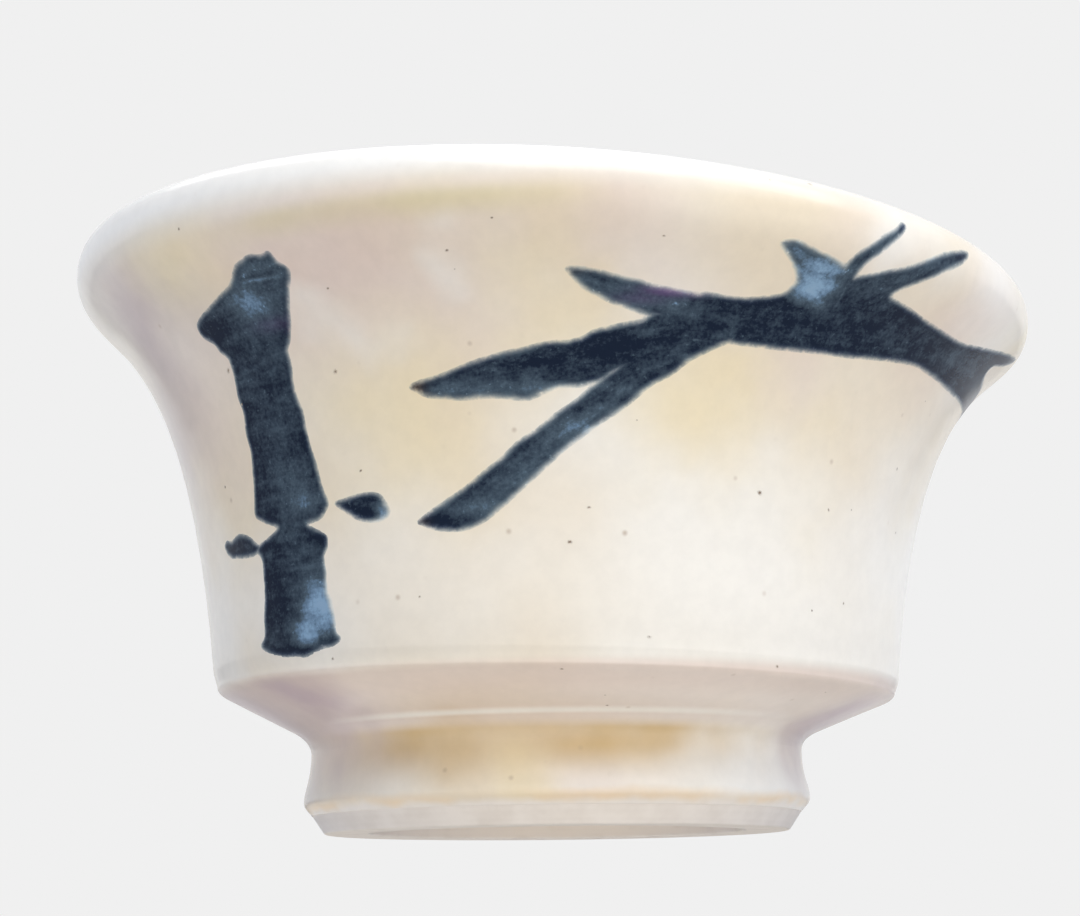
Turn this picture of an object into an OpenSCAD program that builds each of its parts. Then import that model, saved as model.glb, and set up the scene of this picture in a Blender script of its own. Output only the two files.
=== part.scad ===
// Guinomi: a small footed sake cup of thrown stoneware, glazed and brushed with bamboo.
// The cup stands on its foot ring with +Z up. The origin is the centre of the resting face,
// and azimuth 0 is the painted front, which faces -Y.

/* [Bowl] */
// Diameter across the widest part of the lip
rim_d = 70; // [60:0.5:84]
// Height from the resting face to the top of the lip
cup_h = 40.8; // [36:0.2:54]
// Radius of the rounded lip, half of its thickness
lip_r = 2.4; // [1.6:0.1:3]
// Diameter of the shoulder, where the wall turns in under the bowl
shoulder_d = 49.5; // [44:0.5:56]
// Height at which the wall meets the bevel of the shoulder
shoulder_h = 10.9; // [9.8:0.1:13]
// How far the wall runs up before it starts to flare
wall_rise = 25.8; // [12:0.2:27]
// How far the wall leans out over that run
wall_spread = 2.35; // [0:0.05:4]
// How far the wall drops straight down below the lip
lip_drop = 5; // [2:0.2:9]
// Height of the narrow bevel at the shoulder
bevel_h = 0.9; // [0.4:0.1:1.4]
// Width of that bevel, seen from above
bevel_w = 0.3; // [0.1:0.1:0.8]
// Radius of the soft turn below the bevel
turn_r = 0.55; // [0.2:0.05:0.9]
// Tilt of the lip to the resting face, in degrees
rim_tilt = 3.6; // [0:0.1:5]
// Tilt of the shoulder to the resting face, in degrees
shoulder_tilt = 1.4; // [0:0.1:3]

/* [Well] */
// Thickness of the side wall at mid height
wall_t = 3.4; // [2.6:0.1:5]
// Height of the floor of the well above the resting face
floor_h = 9.6; // [8.8:0.1:12]
// Height at which the side wall turns into the rounded floor
well_h = 19; // [16:0.5:24]
// How far round the lip turns before it runs into the well, in degrees from level
lip_turn = 150; // [135:5:180]

/* [Foot] */
// Diameter of the foot at its waist, where it meets the bowl
waist_d = 35.4; // [31:0.2:39]
// Height of the foot ring up to its joint with the bowl
foot_h = 5.6; // [4:0.1:7]
// Diameter of the foot at its outer edge
edge_d = 36.4; // [32:0.2:40]
// Height of that edge, at the top of the chamfer
edge_h = 1.95; // [1:0.05:2.6]
// Diameter of the resting face, at the bottom of the chamfer
rest_d = 33.4; // [30:0.2:36]
// Width of the resting face, from its outer edge in to the recess
rest_w = 3.2; // [2.4:0.1:5.6]
// How far the recess narrows from the resting face to its ceiling
recess_draft = 0.7; // [0:0.1:2]
// How far the fillet between the foot and the underside reaches out
fillet_w = 1.6; // [0.6:0.1:2.4]
// Height of that fillet
fillet_h = 1.75; // [0.8:0.05:2.2]

/* [Glaze and brushwork] */
// Thickness of the fired glaze
glaze_t = 0.4; // [0.2:0.05:0.6]
// Thickness of the fused brush pigment
ink_t = 0.15; // [0.1:0.01:0.3]
// Clearance between the faceted glaze and the pigment seated on it
ink_seat = 0.05; // [0.03:0.01:0.08]

/* [Smoothness] */
// Number of sides round the bowl
sides = 48; // [40:4:60]
// Number of steps along the outer wall
wall_steps = 10; // [8:1:12]

/* [Hidden] */

lip_z = cup_h - lip_r;
rim_r = rim_d / 2;
crest_r = rim_r - lip_r;
shoulder_r = shoulder_d / 2;
waist_r = waist_d / 2;
edge_r = edge_d / 2;
rest_r = rest_d / 2;
recess_r = rest_r - rest_w;
well_steps = 6;
lip_steps = 4;
fillet_steps = 3;
floor_steps = 6;
ink_steps = 2;
ink_columns = 3;
foot_fn = 120;
clay = "#cfc3b4";
cream = "#ece2c8";
ink = "#1f2a33";
ink_wash = "#8fa9bd";

// A cubic curve through four control points, without its first point
function curve(a, b, c, d, steps) = [
    for (i = [1 : steps]) let (t = i / steps, s = 1 - t)
        s * s * s * a + 3 * s * s * t * b + 3 * s * t * t * c + t * t * t * d
];
// An arc round a centre, from one angle to another, without its first point
function arc(centre, r, from, to, steps) = [
    for (i = [1 : steps]) let (a = from + (to - from) * i / steps)
        centre + r * [cos(a), sin(a)]
];
// Unit normal of an open outline at point i, to the left of its direction
function normal(line, i) = let (
    d = line[min(i + 1, len(line) - 1)] - line[max(i - 1, 0)]
) [-d.y, d.x] / norm(d);
// The same outline moved sideways, to the left of its direction
function inset(line, t) = [for (i = [0 : len(line) - 1]) line[i] + t * normal(line, i)];
function backwards(list) = [for (i = [len(list) - 1 : -1 : 0]) list[i]];
function slice(list, from, to) = [for (i = [from : to]) list[i]];

// Glazed outline of the bowl in [radius, height], from the foot joint over the lip to the floor
joint = [waist_r, foot_h];
bevel_foot = [shoulder_r - bevel_w, shoulder_h - bevel_h];
cone_top = bevel_foot - turn_r * [1, 1];
fillet_end = joint + [fillet_w, fillet_h];
cone_run = cone_top - fillet_end;
underside = concat(
    [joint],
    curve(joint, joint + [0, fillet_h / 2], fillet_end - cone_run * fillet_w / cone_run.x / 2,
        fillet_end, fillet_steps),
    curve(fillet_end, fillet_end + cone_run / 3, cone_top - cone_run / 3, cone_top, 2),
    curve(cone_top, cone_top + turn_r / 2 * cone_run / cone_run.x,
        bevel_foot - [0, turn_r / 2], bevel_foot, 2)
);
wall_foot = [shoulder_r, shoulder_h];
wall_line = concat(
    [wall_foot],
    curve(wall_foot, wall_foot + [wall_spread, wall_rise], [rim_r, lip_z - lip_drop],
        [rim_r, lip_z], wall_steps)
);
lip_centre = [crest_r, lip_z];
outside = concat(underside, wall_line, arc(lip_centre, lip_r, 0, 90, lip_steps));
lip_end = lip_centre + lip_r * [cos(lip_turn), sin(lip_turn)];
well_side = [shoulder_r + wall_spread / 3 - wall_t, well_h];
well_floor = [rest_r / 4, floor_h];
inside = concat(
    arc(lip_centre, lip_r, 90, lip_turn, lip_steps),
    curve(lip_end, lip_end + lip_drop * [-sin(lip_turn), cos(lip_turn)],
        well_side + [wall_spread / 2, (lip_z - well_h) / 2], well_side, well_steps),
    curve(well_side, well_side - [wall_spread / 6, (well_h - floor_h) * 2 / 3],
        well_floor + [(well_side.x - well_floor.x) * 2 / 3, 0], well_floor, floor_steps)
);
skin = concat(outside, inside);
foot_waist = joint - [glaze_t, 0];
body = concat([foot_waist], slice(inset(skin, glaze_t), 1, len(skin) - 1));
crest = len(outside) - 1;

// Tilt of the cup at a height: none in the foot, a little at the shoulder, most at the lip
function tilt(z) = lookup(z, [
    [foot_h, 0], [shoulder_h, tan(shoulder_tilt)], [lip_z, tan(rim_tilt)]
]);
// A point of the leaning cup, from its radius, its azimuth from the front and its height
function leaning(r, az, z) = let (x = r * sin(az)) [x, -r * cos(az), z - x * tilt(z)];

// The solid that an outline sweeps round the leaning cup. A closed outline runs anticlockwise
// in [radius, height] and makes a ring. An open one has a flat disc at each end instead.
module lathe(outline, closed) {
    n = len(outline);
    points = [
        for (p = outline) for (k = [0 : sides - 1]) leaning(p.x, k * 360 / sides, p.y)
    ];
    bands = closed ? n : n - 1;
    band_faces = [
        for (i = [0 : bands - 1]) for (k = [0 : sides - 1])
            let (
                a = i * sides + k,
                b = i * sides + (k + 1) % sides,
                c = ((i + 1) % n) * sides + (k + 1) % sides,
                d = ((i + 1) % n) * sides + k
            )
            each [[a, d, c], [a, c, b]]
    ];
    caps = closed ? [] : [
        [for (k = [0 : sides - 1]) k],
        [for (k = [sides - 1 : -1 : 0]) (n - 1) * sides + k]
    ];
    polyhedron(points = points, faces = concat(band_faces, caps), convexity = 6);
}

module bowl() {
    color(clay) lathe(body, false);
}

// The foot ring's own outline inside its glaze, in [radius, height]
foot_edge = [edge_r - glaze_t / 2, edge_h];
foot_flare = concat(
    [foot_waist],
    curve(foot_waist, foot_waist - [0, (foot_h - edge_h) / 2],
        foot_edge + [-glaze_t / 2, (foot_h - edge_h) / 4], foot_edge, 6)
);

module foot_ring() {
    color(clay) rotate_extrude($fn = foot_fn) polygon(concat(
        [[recess_r, 0], [recess_r - recess_draft, foot_h]],
        foot_flare,
        [[rest_r + glaze_t / 4, glaze_t / 4], [rest_r - glaze_t / 4, 0]]
    ));
}

module glaze_outside() {
    color(cream) lathe(concat(
        slice(skin, 0, crest), backwards(slice(body, 0, crest))
    ), true);
}

module glaze_inside() {
    color(cream) lathe(concat(
        backwards(slice(body, crest, len(body) - 1)), slice(skin, crest, len(skin) - 1)
    ), false);
}

// The glaze on the foot thins out and stops in a rounded line at the foot's edge
module glaze_foot() {
    glaze_edge = [edge_r, edge_h + glaze_t / 2];
    color(cream) rotate_extrude($fn = foot_fn) polygon(concat(
        foot_flare,
        curve(foot_edge, foot_edge + [glaze_t / 4, 0], glaze_edge - [0, glaze_t / 4], glaze_edge, 3),
        curve(glaze_edge, glaze_edge + [0, (foot_h - edge_h) / 4],
            joint - [0, (foot_h - edge_h) / 2], joint, 6)
    ));
}

// The brushwork. Each stroke is a list of rungs, in the order in which the brush made them. A
// rung holds the stroke's left edge and then its right edge, as one who follows the brush sees
// them. Each edge is an azimuth from the front in degrees and a height as a share of the wall's.
culm_top_shares = [
    [-47.7, 0.691, -36.2, 0.691], [-51, 0.74, -35, 0.717], [-51, 0.766, -34.2, 0.742],
    [-47.4, 0.79, -33.3, 0.772], [-43.2, 0.818, -32.2, 0.806], [-39.6, 0.845, -31.4, 0.838],
    [-37.2, 0.868, -32.6, 0.868]
];
culm_middle_shares = [
    [-48.6, 0.303, -35.4, 0.303], [-50.3, 0.342, -34.4, 0.34], [-49.4, 0.404, -35.1, 0.4],
    [-48.6, 0.476, -36, 0.47], [-48.6, 0.542, -36.5, 0.545], [-48.3, 0.62, -36.6, 0.62],
    [-47.7, 0.68, -36.2, 0.68]
];
culm_base_shares = [
    [-50.5, 0.012, -35.6, 0.012], [-52, 0.042, -34.5, 0.04], [-50.5, 0.095, -35.4, 0.095],
    [-49.9, 0.16, -36, 0.165], [-49.8, 0.222, -35.8, 0.222], [-50, 0.262, -35.7, 0.262],
    [-46.5, 0.288, -37.5, 0.288]
];
bud_left_shares = [
    [-61.4, 0.278, -61, 0.27], [-59.5, 0.291, -59.2, 0.258], [-56.8, 0.296, -56.6, 0.25],
    [-53.9, 0.288, -53.9, 0.253], [-51.8, 0.276, -51.6, 0.259]
];
bud_right_shares = [
    [-32.9, 0.338, -32.7, 0.33], [-30.6, 0.345, -30.8, 0.309], [-28.2, 0.351, -28.4, 0.292],
    [-25.8, 0.347, -26, 0.289], [-24.2, 0.334, -24.2, 0.299], [-23.6, 0.32, -23.6, 0.311]
];
leaf_high_shares = [
    [1.8, 0.822, 2.2, 0.812], [4.2, 0.829, 4.6, 0.782], [7.5, 0.822, 8, 0.764],
    [11.2, 0.808, 11.4, 0.762], [15, 0.803, 15.2, 0.782], [18.2, 0.803, 18.4, 0.797]
];
leaf_long_shares = [
    [-18.9, 0.58, -18.4, 0.57], [-15.5, 0.606, -15, 0.563], [-9, 0.638, -9, 0.557],
    [-3, 0.667, -2.6, 0.565], [3, 0.695, 3, 0.588], [7.8, 0.72, 8.2, 0.622],
    [12, 0.744, 12.6, 0.663], [15.6, 0.768, 16.4, 0.7], [19, 0.783, 20.2, 0.735]
];
leaf_low_shares = [
    [-19.5, 0.278, -19, 0.269], [-16.6, 0.315, -14.6, 0.266], [-12.5, 0.355, -9.8, 0.284],
    [-8.4, 0.412, -6, 0.324], [-4.9, 0.463, -2.2, 0.385], [-0.8, 0.509, 1.8, 0.44],
    [3.4, 0.56, 6.2, 0.498], [7.6, 0.603, 10.4, 0.553], [12.4, 0.645, 14.8, 0.605],
    [16.6, 0.683, 18.6, 0.65], [19.9, 0.713, 21.2, 0.685]
];
branch_shares = [
    [19.8, 0.787, 21.2, 0.722], [22.6, 0.798, 23.6, 0.712], [27, 0.812, 28, 0.709],
    [33, 0.83, 34, 0.712], [40, 0.856, 40.5, 0.722], [47, 0.853, 48, 0.737],
    [55, 0.838, 55, 0.748], [64, 0.836, 64, 0.742], [73, 0.855, 74, 0.74],
    [82, 0.878, 83, 0.745], [88, 0.865, 88.5, 0.77], [91, 0.83, 91, 0.8]
];
sprig_bud_shares = [
    [25.3, 0.915, 25.4, 0.905], [27, 0.921, 26.9, 0.884], [29.3, 0.912, 28.8, 0.86],
    [31.6, 0.902, 30.9, 0.843], [33.6, 0.888, 33, 0.848]
];
sprig_short_shares = [
    [34.5, 0.856, 36.6, 0.862], [34.4, 0.884, 36.3, 0.888], [36, 0.938, 37.6, 0.93],
    [38.4, 0.972, 39.6, 0.96], [40.6, 0.994, 41, 0.99]
];
sprig_long_shares = [
    [37.6, 0.882, 40.8, 0.871], [40.4, 0.905, 43, 0.888], [43.6, 0.938, 45.8, 0.918],
    [47.2, 0.972, 48.8, 0.955], [50.8, 0.992, 51.8, 0.984], [52.8, 0.999, 53, 0.996]
];

wall_h = lip_z - shoulder_h;
wall_radii = [for (p = wall_line) [p.y, p.x]];
function on_wall(az, h_share, lift) = let (z = shoulder_h + h_share * wall_h)
    leaning(lookup(z, wall_radii) + lift, az, z);
// A smooth run through the rungs, with ink_steps steps between each pair
function smooth(s) = [
    for (i = [0 : len(s) - 2]) for (k = [0 : ink_steps - 1 + (i == len(s) - 2 ? 1 : 0)])
        let (
            t = k / ink_steps,
            before = s[max(i - 1, 0)], a = s[i], b = s[i + 1], after = s[min(i + 2, len(s) - 1)],
            out = (b - before) / 2, in = (after - a) / 2
        )
        (1 + 2 * t) * (1 - t) * (1 - t) * a + t * (1 - t) * (1 - t) * out
            + t * t * (3 - 2 * t) * b + t * t * (t - 1) * in
];
// Azimuth and height share of a point on a rung, from 0 at its left edge to 1 at its right
function on_rung(rung, across) = let (s = 1 - across)
    [s * rung[0] + across * rung[2], s * rung[1] + across * rung[3]];

module stroke(shares, tone) {
    run = smooth(shares);
    rows = len(run);
    columns = ink_columns + 1;
    lifts = [ink_seat, ink_seat + ink_t];
    points = [
        for (lift = lifts) for (rung = run) for (j = [0 : ink_columns])
            let (p = on_rung(rung, j / ink_columns))
            on_wall(p[0], p[1], lift)
    ];
    top = rows * columns;
    faces = [
        for (i = [0 : rows - 2]) for (j = [0 : ink_columns - 1])
            let (a = i * columns + j, b = a + 1, c = a + columns + 1, d = a + columns)
            each [
                [a, b, c], [a, c, d],
                [top + a, top + c, top + b], [top + a, top + d, top + c]
            ]
    ];
    ends = [
        for (j = [0 : ink_columns - 1]) let (e = (rows - 1) * columns)
            each [
                [j, top + j, top + j + 1], [j, top + j + 1, j + 1],
                [e + j, e + j + 1, top + e + j + 1], [e + j, top + e + j + 1, top + e + j]
            ]
    ];
    edges = [
        for (i = [0 : rows - 2]) let (a = i * columns, b = a + columns, w = ink_columns)
            each [
                [a, b, top + b], [a, top + b, top + a],
                [a + w, top + a + w, top + b + w], [a + w, top + b + w, b + w]
            ]
    ];
    color(tone) polyhedron(points = points, faces = concat(faces, ends, edges), convexity = 4);
}

module culm_top() {
    stroke(culm_top_shares, ink);
}

module culm_middle() {
    stroke(culm_middle_shares, ink);
}

module culm_base() {
    stroke(culm_base_shares, ink);
}

module bud_left() {
    stroke(bud_left_shares, ink);
}

module bud_right() {
    stroke(bud_right_shares, ink);
}

module leaf_high() {
    stroke(leaf_high_shares, ink);
}

module leaf_long() {
    stroke(leaf_long_shares, ink);
}

module leaf_low() {
    stroke(leaf_low_shares, ink);
}

module branch() {
    stroke(branch_shares, ink);
}

module sprig_bud() {
    stroke(sprig_bud_shares, ink_wash);
}

module sprig_short() {
    stroke(sprig_short_shares, ink);
}

module sprig_long() {
    stroke(sprig_long_shares, ink);
}

bowl();
foot_ring();
glaze_outside();
glaze_inside();
glaze_foot();
culm_top();
culm_middle();
culm_base();
bud_left();
bud_right();
leaf_high();
leaf_long();
leaf_low();
branch();
sprig_bud();
sprig_short();
sprig_long();
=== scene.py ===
# Dresses a guinomi, a footed stoneware sake cup: its clay, its glaze and its bamboo brushwork.
# Everything is in metres, with +Z up and the origin at the centre of the resting face. A point
# of the cup has a radius, an azimuth from the painted front at -Y, positive towards +X, and a
# height. The cup leans a little as it rises, so its lip dips towards +X.
import math

import bpy
import numpy as np
from mathutils import Matrix, Vector


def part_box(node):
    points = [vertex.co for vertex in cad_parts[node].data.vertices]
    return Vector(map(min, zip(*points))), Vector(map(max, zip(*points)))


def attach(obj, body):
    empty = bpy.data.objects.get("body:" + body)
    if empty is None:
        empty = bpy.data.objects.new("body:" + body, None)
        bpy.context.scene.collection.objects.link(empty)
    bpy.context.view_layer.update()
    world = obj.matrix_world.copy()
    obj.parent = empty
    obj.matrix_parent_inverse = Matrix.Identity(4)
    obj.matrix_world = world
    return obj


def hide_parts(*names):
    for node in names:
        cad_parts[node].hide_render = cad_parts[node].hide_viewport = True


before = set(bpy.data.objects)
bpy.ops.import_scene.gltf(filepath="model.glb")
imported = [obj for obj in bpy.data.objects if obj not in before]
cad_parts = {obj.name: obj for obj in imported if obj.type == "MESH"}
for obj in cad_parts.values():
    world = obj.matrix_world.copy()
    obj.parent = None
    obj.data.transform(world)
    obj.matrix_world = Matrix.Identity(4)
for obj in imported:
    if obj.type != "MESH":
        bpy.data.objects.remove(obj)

bl_info = {
    "name": "Guinomi sake cup",
    "version": (1, 0, 0),
    "blender": (4, 5, 0),
    "location": "3D View > Sidebar > Guinomi",
    "description": "Builds the clay, glaze and bamboo brushwork of a footed sake cup",
    "category": "Object",
}

MM = 0.001
TURN = 2 * math.pi
BODY = "root"
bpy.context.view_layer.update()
GLAZE_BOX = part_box("glaze_outside")
FOOT_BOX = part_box("foot_ring")
EDGE_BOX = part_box("glaze_foot")

# Sides of each thrown piece
BOWL_SIDES, FOOT_SIDES, GLAZE_SIDES = 192, 256, 320
# Marks that the turning tool left in the recess, and the soft corners of the foot ring
MARK_PITCH = 1.3 * MM
MARK_DEPTH = 0.05 * MM
SOFT_CORNER = 0.3 * MM
COVE = 0.7 * MM
# Faces that meet at more than this angle keep a sharp edge, and points that are closer than
# this gap become one
CREASE = math.radians(40)
MERGE_GAP = 1e-6
# The potter's hand: how far a throwing ring wanders, in radians, and its share of the
# unevenness, which fades out within a radius. The lip's saddle starts at a share of its height.
RING_WANDER = 9
RING_SHARE = 0.07
EVEN_RADIUS = 8 * MM
SADDLE_START = 0.85
# Depth of the fine relief in a surface, and the index of refraction of glaze and pigment
RELIEF_DEPTH = 0.05 * MM
GLAZE_INDEX = 1.48
INK_INDEX = 1.18
# Grains of iron that are scattered over the glaze, the shares of a grain's breadth that it
# measures along, across and upwards, and how much broader it is than the speck that shows
SPECKS_PER_SQUARE_METRE = 5000.0
SPECK_SEED = 7
SPECK_BREADTH = 0.5 * MM
GRAIN_SHAPE = (1, 0.75, 0.07)
GRAIN_PER_SPECK = 1.9


# Sizes and colours that a user can change

def length(title, about, value):
    """A size, given in millimetres."""
    return bpy.props.FloatProperty(
        name=title, description=about, default=value * MM, min=0, unit="LENGTH", precision=5
    )


def angle(title, about, degrees):
    """An angle, given in degrees."""
    return bpy.props.FloatProperty(
        name=title, description=about, default=math.radians(degrees), subtype="ANGLE"
    )


def amount(title, about, value):
    """A plain number from 0 up."""
    return bpy.props.FloatProperty(name=title, description=about, default=value, min=0)


def linear(*bytes_of_colour):
    """A colour for the renderer, from red, green and blue as a screen shows them, 0 to 255."""
    shares = [b / 255 for b in bytes_of_colour]
    low_slope, power, offset, knee = 12.92, 2.4, 0.055, 0.04045
    curved = [s / low_slope if s <= knee else ((s + offset) / (1 + offset)) ** power for s in shares]
    return (*curved, 1.0)


def colour(title, about, *bytes_of_colour):
    """A colour, given as a screen shows it."""
    return bpy.props.FloatVectorProperty(
        name=title, description=about, subtype="COLOR", size=4, min=0, max=1,
        default=linear(*bytes_of_colour)
    )


class CupForm(bpy.types.PropertyGroup):
    """Sizes of the thrown form"""
    rim_radius: length("Rim radius", "Widest part of the lip", GLAZE_BOX[1].x / MM)
    crest_height: length("Height", "Resting face to the top of the lip", 40.8)
    lip_radius: length("Lip radius", "Half the thickness of the rounded lip", 2.4)
    shoulder_radius: length("Shoulder radius", "Where the wall turns in", 24.75)
    shoulder_height: length("Shoulder height", "Height of that turn", 10.9)
    wall_rise: length("Wall rise", "How far the wall runs up before it flares", 25.8)
    wall_spread: length("Wall spread", "How far the wall leans out over that run", 2.35)
    lip_drop: length("Lip drop", "How far the wall drops straight below the lip", 5)
    bevel_height: length("Bevel height", "Height of the bevel at the shoulder", 0.9)
    bevel_width: length("Bevel width", "Width of that bevel from above", 0.3)
    turn_radius: length("Turn radius", "Soft turn below the bevel", 0.55)
    waist_radius: length("Waist radius", "Foot where it meets the bowl", 17.7)
    foot_height: length("Foot height", "Height of the foot's joint", FOOT_BOX[1].z / MM)
    edge_radius: length("Edge radius", "Outer edge of the foot", EDGE_BOX[1].x / MM)
    edge_height: length("Edge height", "Height of that edge", 1.95)
    overrun: length("Glaze overrun", "How far the glaze runs over the foot's edge", 0.8)
    rest_radius: length("Rest radius", "Outer edge of the resting face", 16.7)
    rest_width: length("Rest width", "Width of the resting face", 3.2)
    recess_draft: length("Recess draft", "How far the recess narrows upwards", 0.7)
    fillet_width: length("Fillet width", "Reach of the fillet over the foot", 1.6)
    fillet_height: length("Fillet height", "Height of that fillet", 1.75)
    wall_thickness: length("Wall thickness", "Side wall at mid height", 3.4)
    well_height: length("Well height", "Where the side turns into the floor", 19)
    floor_height: length("Floor height", "Height of the floor of the well", 9.6)
    lip_turn: angle("Lip turn", "How far round the lip turns inwards", 150)
    rim_tilt: angle("Rim tilt", "Tilt of the lip to the resting face", 3.6)
    shoulder_tilt: angle("Shoulder tilt", "Tilt of the shoulder", 1.4)
    glaze: length("Glaze thickness", "Thickness of the fired glaze", 0.4)
    rim_saddle: length("Rim saddle", "How far the lip rises in front and dips at its sides", 0.3)
    relief: length("Relief", "How uneven the potter's hand left the wall", 0.12)
    ring_pitch: length("Throwing rings", "Distance between two throwing rings", 2.6)


class CupFinish(bpy.types.PropertyGroup):
    """Colours of the clay, the glaze and the brushwork"""
    cream: colour("Cream", "Body of the glaze", 238, 223, 197)
    # This colour is partly paler glaze and partly painted light: it whitens the top of the lip, the
    # lower wall on the left, the foot on the right and a highlight line across the top of the fillet.
    milk: colour("Milk", "Paler clouds in the glaze", 246, 241, 230)
    # Painted light: this white brightens the top of the lip and clouds on the right of the wall, where
    # the key light falls.
    crest: colour("Crest", "White of the glaze on the lip", 252, 250, 244)
    # This colour is partly a pink tone of the glaze and partly painted shade on the flare, where it
    # faces down away from the light.
    blush: colour("Blush", "Pinkish clouds in the glaze", 228, 207, 195)
    # Painted shade: this colour darkens the left of the flare and the sides of the cone and fillet,
    # where they turn away from the light.
    mauve: colour("Mauve", "Duller pink where the cup turns away", 190, 171, 172)
    # Painted shade: this colour darkens the glaze under the shoulder, which faces down away from the
    # light.
    biscuit: colour("Biscuit", "Warmer tone of the glaze under the shoulder", 213, 191, 176)
    straw: colour("Straw", "Yellowish clouds in the glaze", 240, 220, 172)
    # This colour makes a band just below the lip on the left of the front, and one cloud on the left
    # of the flare.
    khaki: colour("Khaki", "Soft stain beneath the lip", 222, 208, 166)
    # This colour is partly glaze pooled thick in the waist of the foot and partly painted shade under
    # the overhang of the shoulder.
    ochre: colour("Ochre", "Thick glaze in the waist of the foot", 206, 174, 120)
    peach: colour("Peach", "Thin edge where the glaze stops", 244, 214, 172)
    clay: colour("Clay", "Bare fired clay", 244, 232, 216)
    clay_shade: colour("Clay shade", "Darker grains and turning marks", 234, 221, 204)
    ink: colour("Ink", "Brush pigment where it lies thick", 24, 33, 50)
    slate: colour("Slate", "Pigment of middling strength", 78, 93, 105)
    wash: colour("Wash", "Thinned pigment", 124, 158, 190)
    sheen: colour("Sheen", "Navy sheen of the thick pigment", 200, 228, 255)
    purple: colour("Purple", "Purple stain in one leaf", 104, 82, 122)
    brown: colour("Brown", "Brown stain at the leaf tips", 46, 38, 34)
    iron: colour("Iron", "Specks of iron in the glaze", 124, 102, 80)
    freckle: colour("Freckle", "Faint freckles of iron deep in the glaze", 176, 152, 126)
    gloss: amount("Roughness", "Roughness of the glaze", 0.2)


class CupStage(bpy.types.PropertyGroup):
    """Floor, lights and camera"""
    floor: colour("Floor", "Pale studio floor", 222, 221, 220)
    backdrop: colour("Backdrop", "What shows behind the cup", 240, 240, 240)
    key_power: amount("Key light", "Power of the big soft lamp in watts", 5.6)
    fill_power: amount("Fill light", "Power of the small lamp on the right in watts", 1.6)
    front_power: amount("Front light", "Power of the level strip in front in watts", 1.0)
    rim_power: amount("Rim light", "Power of the lamp above and behind in watts", 1.1)
    low_power: amount("Low light", "Power of the low strip in front in watts", 1.2)
    under_power: amount("Light below", "Power of the small lamp below in watts", 0.1)
    ambient: amount("Ambient", "Strength of the light from both sides", 0.38)
    side_light: colour("Side light", "Cool light from the left and the right", 140, 180, 245)
    plain_light: colour("Plain light", "Plain light from the front and above", 255, 250, 242)
    studio: amount("Studio", "How bright the side of the studio behind the camera is", 0.3)
    lens: amount("Lens", "Focal length in millimetres", 82.25)


# Outlines of the cup in [radius, height]

def curve(a, b, c, d, steps):
    """A cubic curve through four control points, without its first point."""
    t = np.linspace(0, 1, steps + 1)[1:, None]
    s = 1 - t
    return list(s ** 3 * a + 3 * s * s * t * b + 3 * s * t * t * c + t ** 3 * d)


def straight(a, b, steps):
    """A straight line with its points closer together towards its ends."""
    return curve(a, a, b, b, steps)


def arc(centre, radius, start, end, steps):
    """An arc round a centre, in degrees, without its first point."""
    turns = np.radians(np.linspace(start, end, steps + 1)[1:])
    return [centre + radius * np.array([math.cos(t), math.sin(t)]) for t in turns]


def at(radius, height):
    return np.array([radius, height], float)


def unit(run):
    return run / np.linalg.norm(run)


def inset(line, depth):
    """The outline moved sideways, to the left of its direction."""
    run = np.gradient(np.array(line), axis=0)
    run /= np.linalg.norm(run, axis=1)[:, None]
    return list(line + depth * np.stack([-run[:, 1], run[:, 0]], axis=1))


def tight(line, gap=0.02 * MM):
    """The outline with a point close to each end, so that two glazes meet without a crease."""
    after = line[0] + gap * unit(line[1] - line[0])
    before = line[-1] + gap * unit(line[-2] - line[-1])
    return [line[0], after, *line[1:-1], before, line[-1]]


def lip_height(form):
    """Height of the lip's widest place."""
    return form.crest_height - form.lip_radius


def outer_skin(form):
    """The glazed outside, from the foot's joint up to the crest of the lip."""
    joint = at(form.waist_radius, form.foot_height)
    shoulder = at(form.shoulder_radius, form.shoulder_height)
    bevel_foot = shoulder - at(form.bevel_width, form.bevel_height)
    cone_top = bevel_foot - form.turn_radius
    fillet_end = joint + at(form.fillet_width, form.fillet_height)
    run = cone_top - fillet_end
    lip_foot = at(form.rim_radius, lip_height(form))
    soft = 0.3 * form.bevel_height
    before = shoulder + soft * unit(bevel_foot - shoulder)
    after = shoulder + soft * at(form.wall_spread / form.wall_rise, 1)
    return [
        joint,
        *curve(joint, joint + at(0, form.fillet_height / 2),
               fillet_end - run * form.fillet_width / run[0] / 2, fillet_end, 14),
        *curve(fillet_end, fillet_end + run / 3, cone_top - run / 3, cone_top, 16),
        *curve(cone_top, cone_top + form.turn_radius / 2 * run / run[0],
               bevel_foot - at(0, form.turn_radius / 2), bevel_foot, 10),
        *straight(bevel_foot, before, 3),
        *curve(before, shoulder, shoulder, after, 6),
        *curve(after, shoulder + at(form.wall_spread, form.wall_rise),
               lip_foot - at(0, form.lip_drop), lip_foot, 110),
        *arc(lip_foot - at(form.lip_radius, 0), form.lip_radius, 0, 90, 26),
    ]


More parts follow.
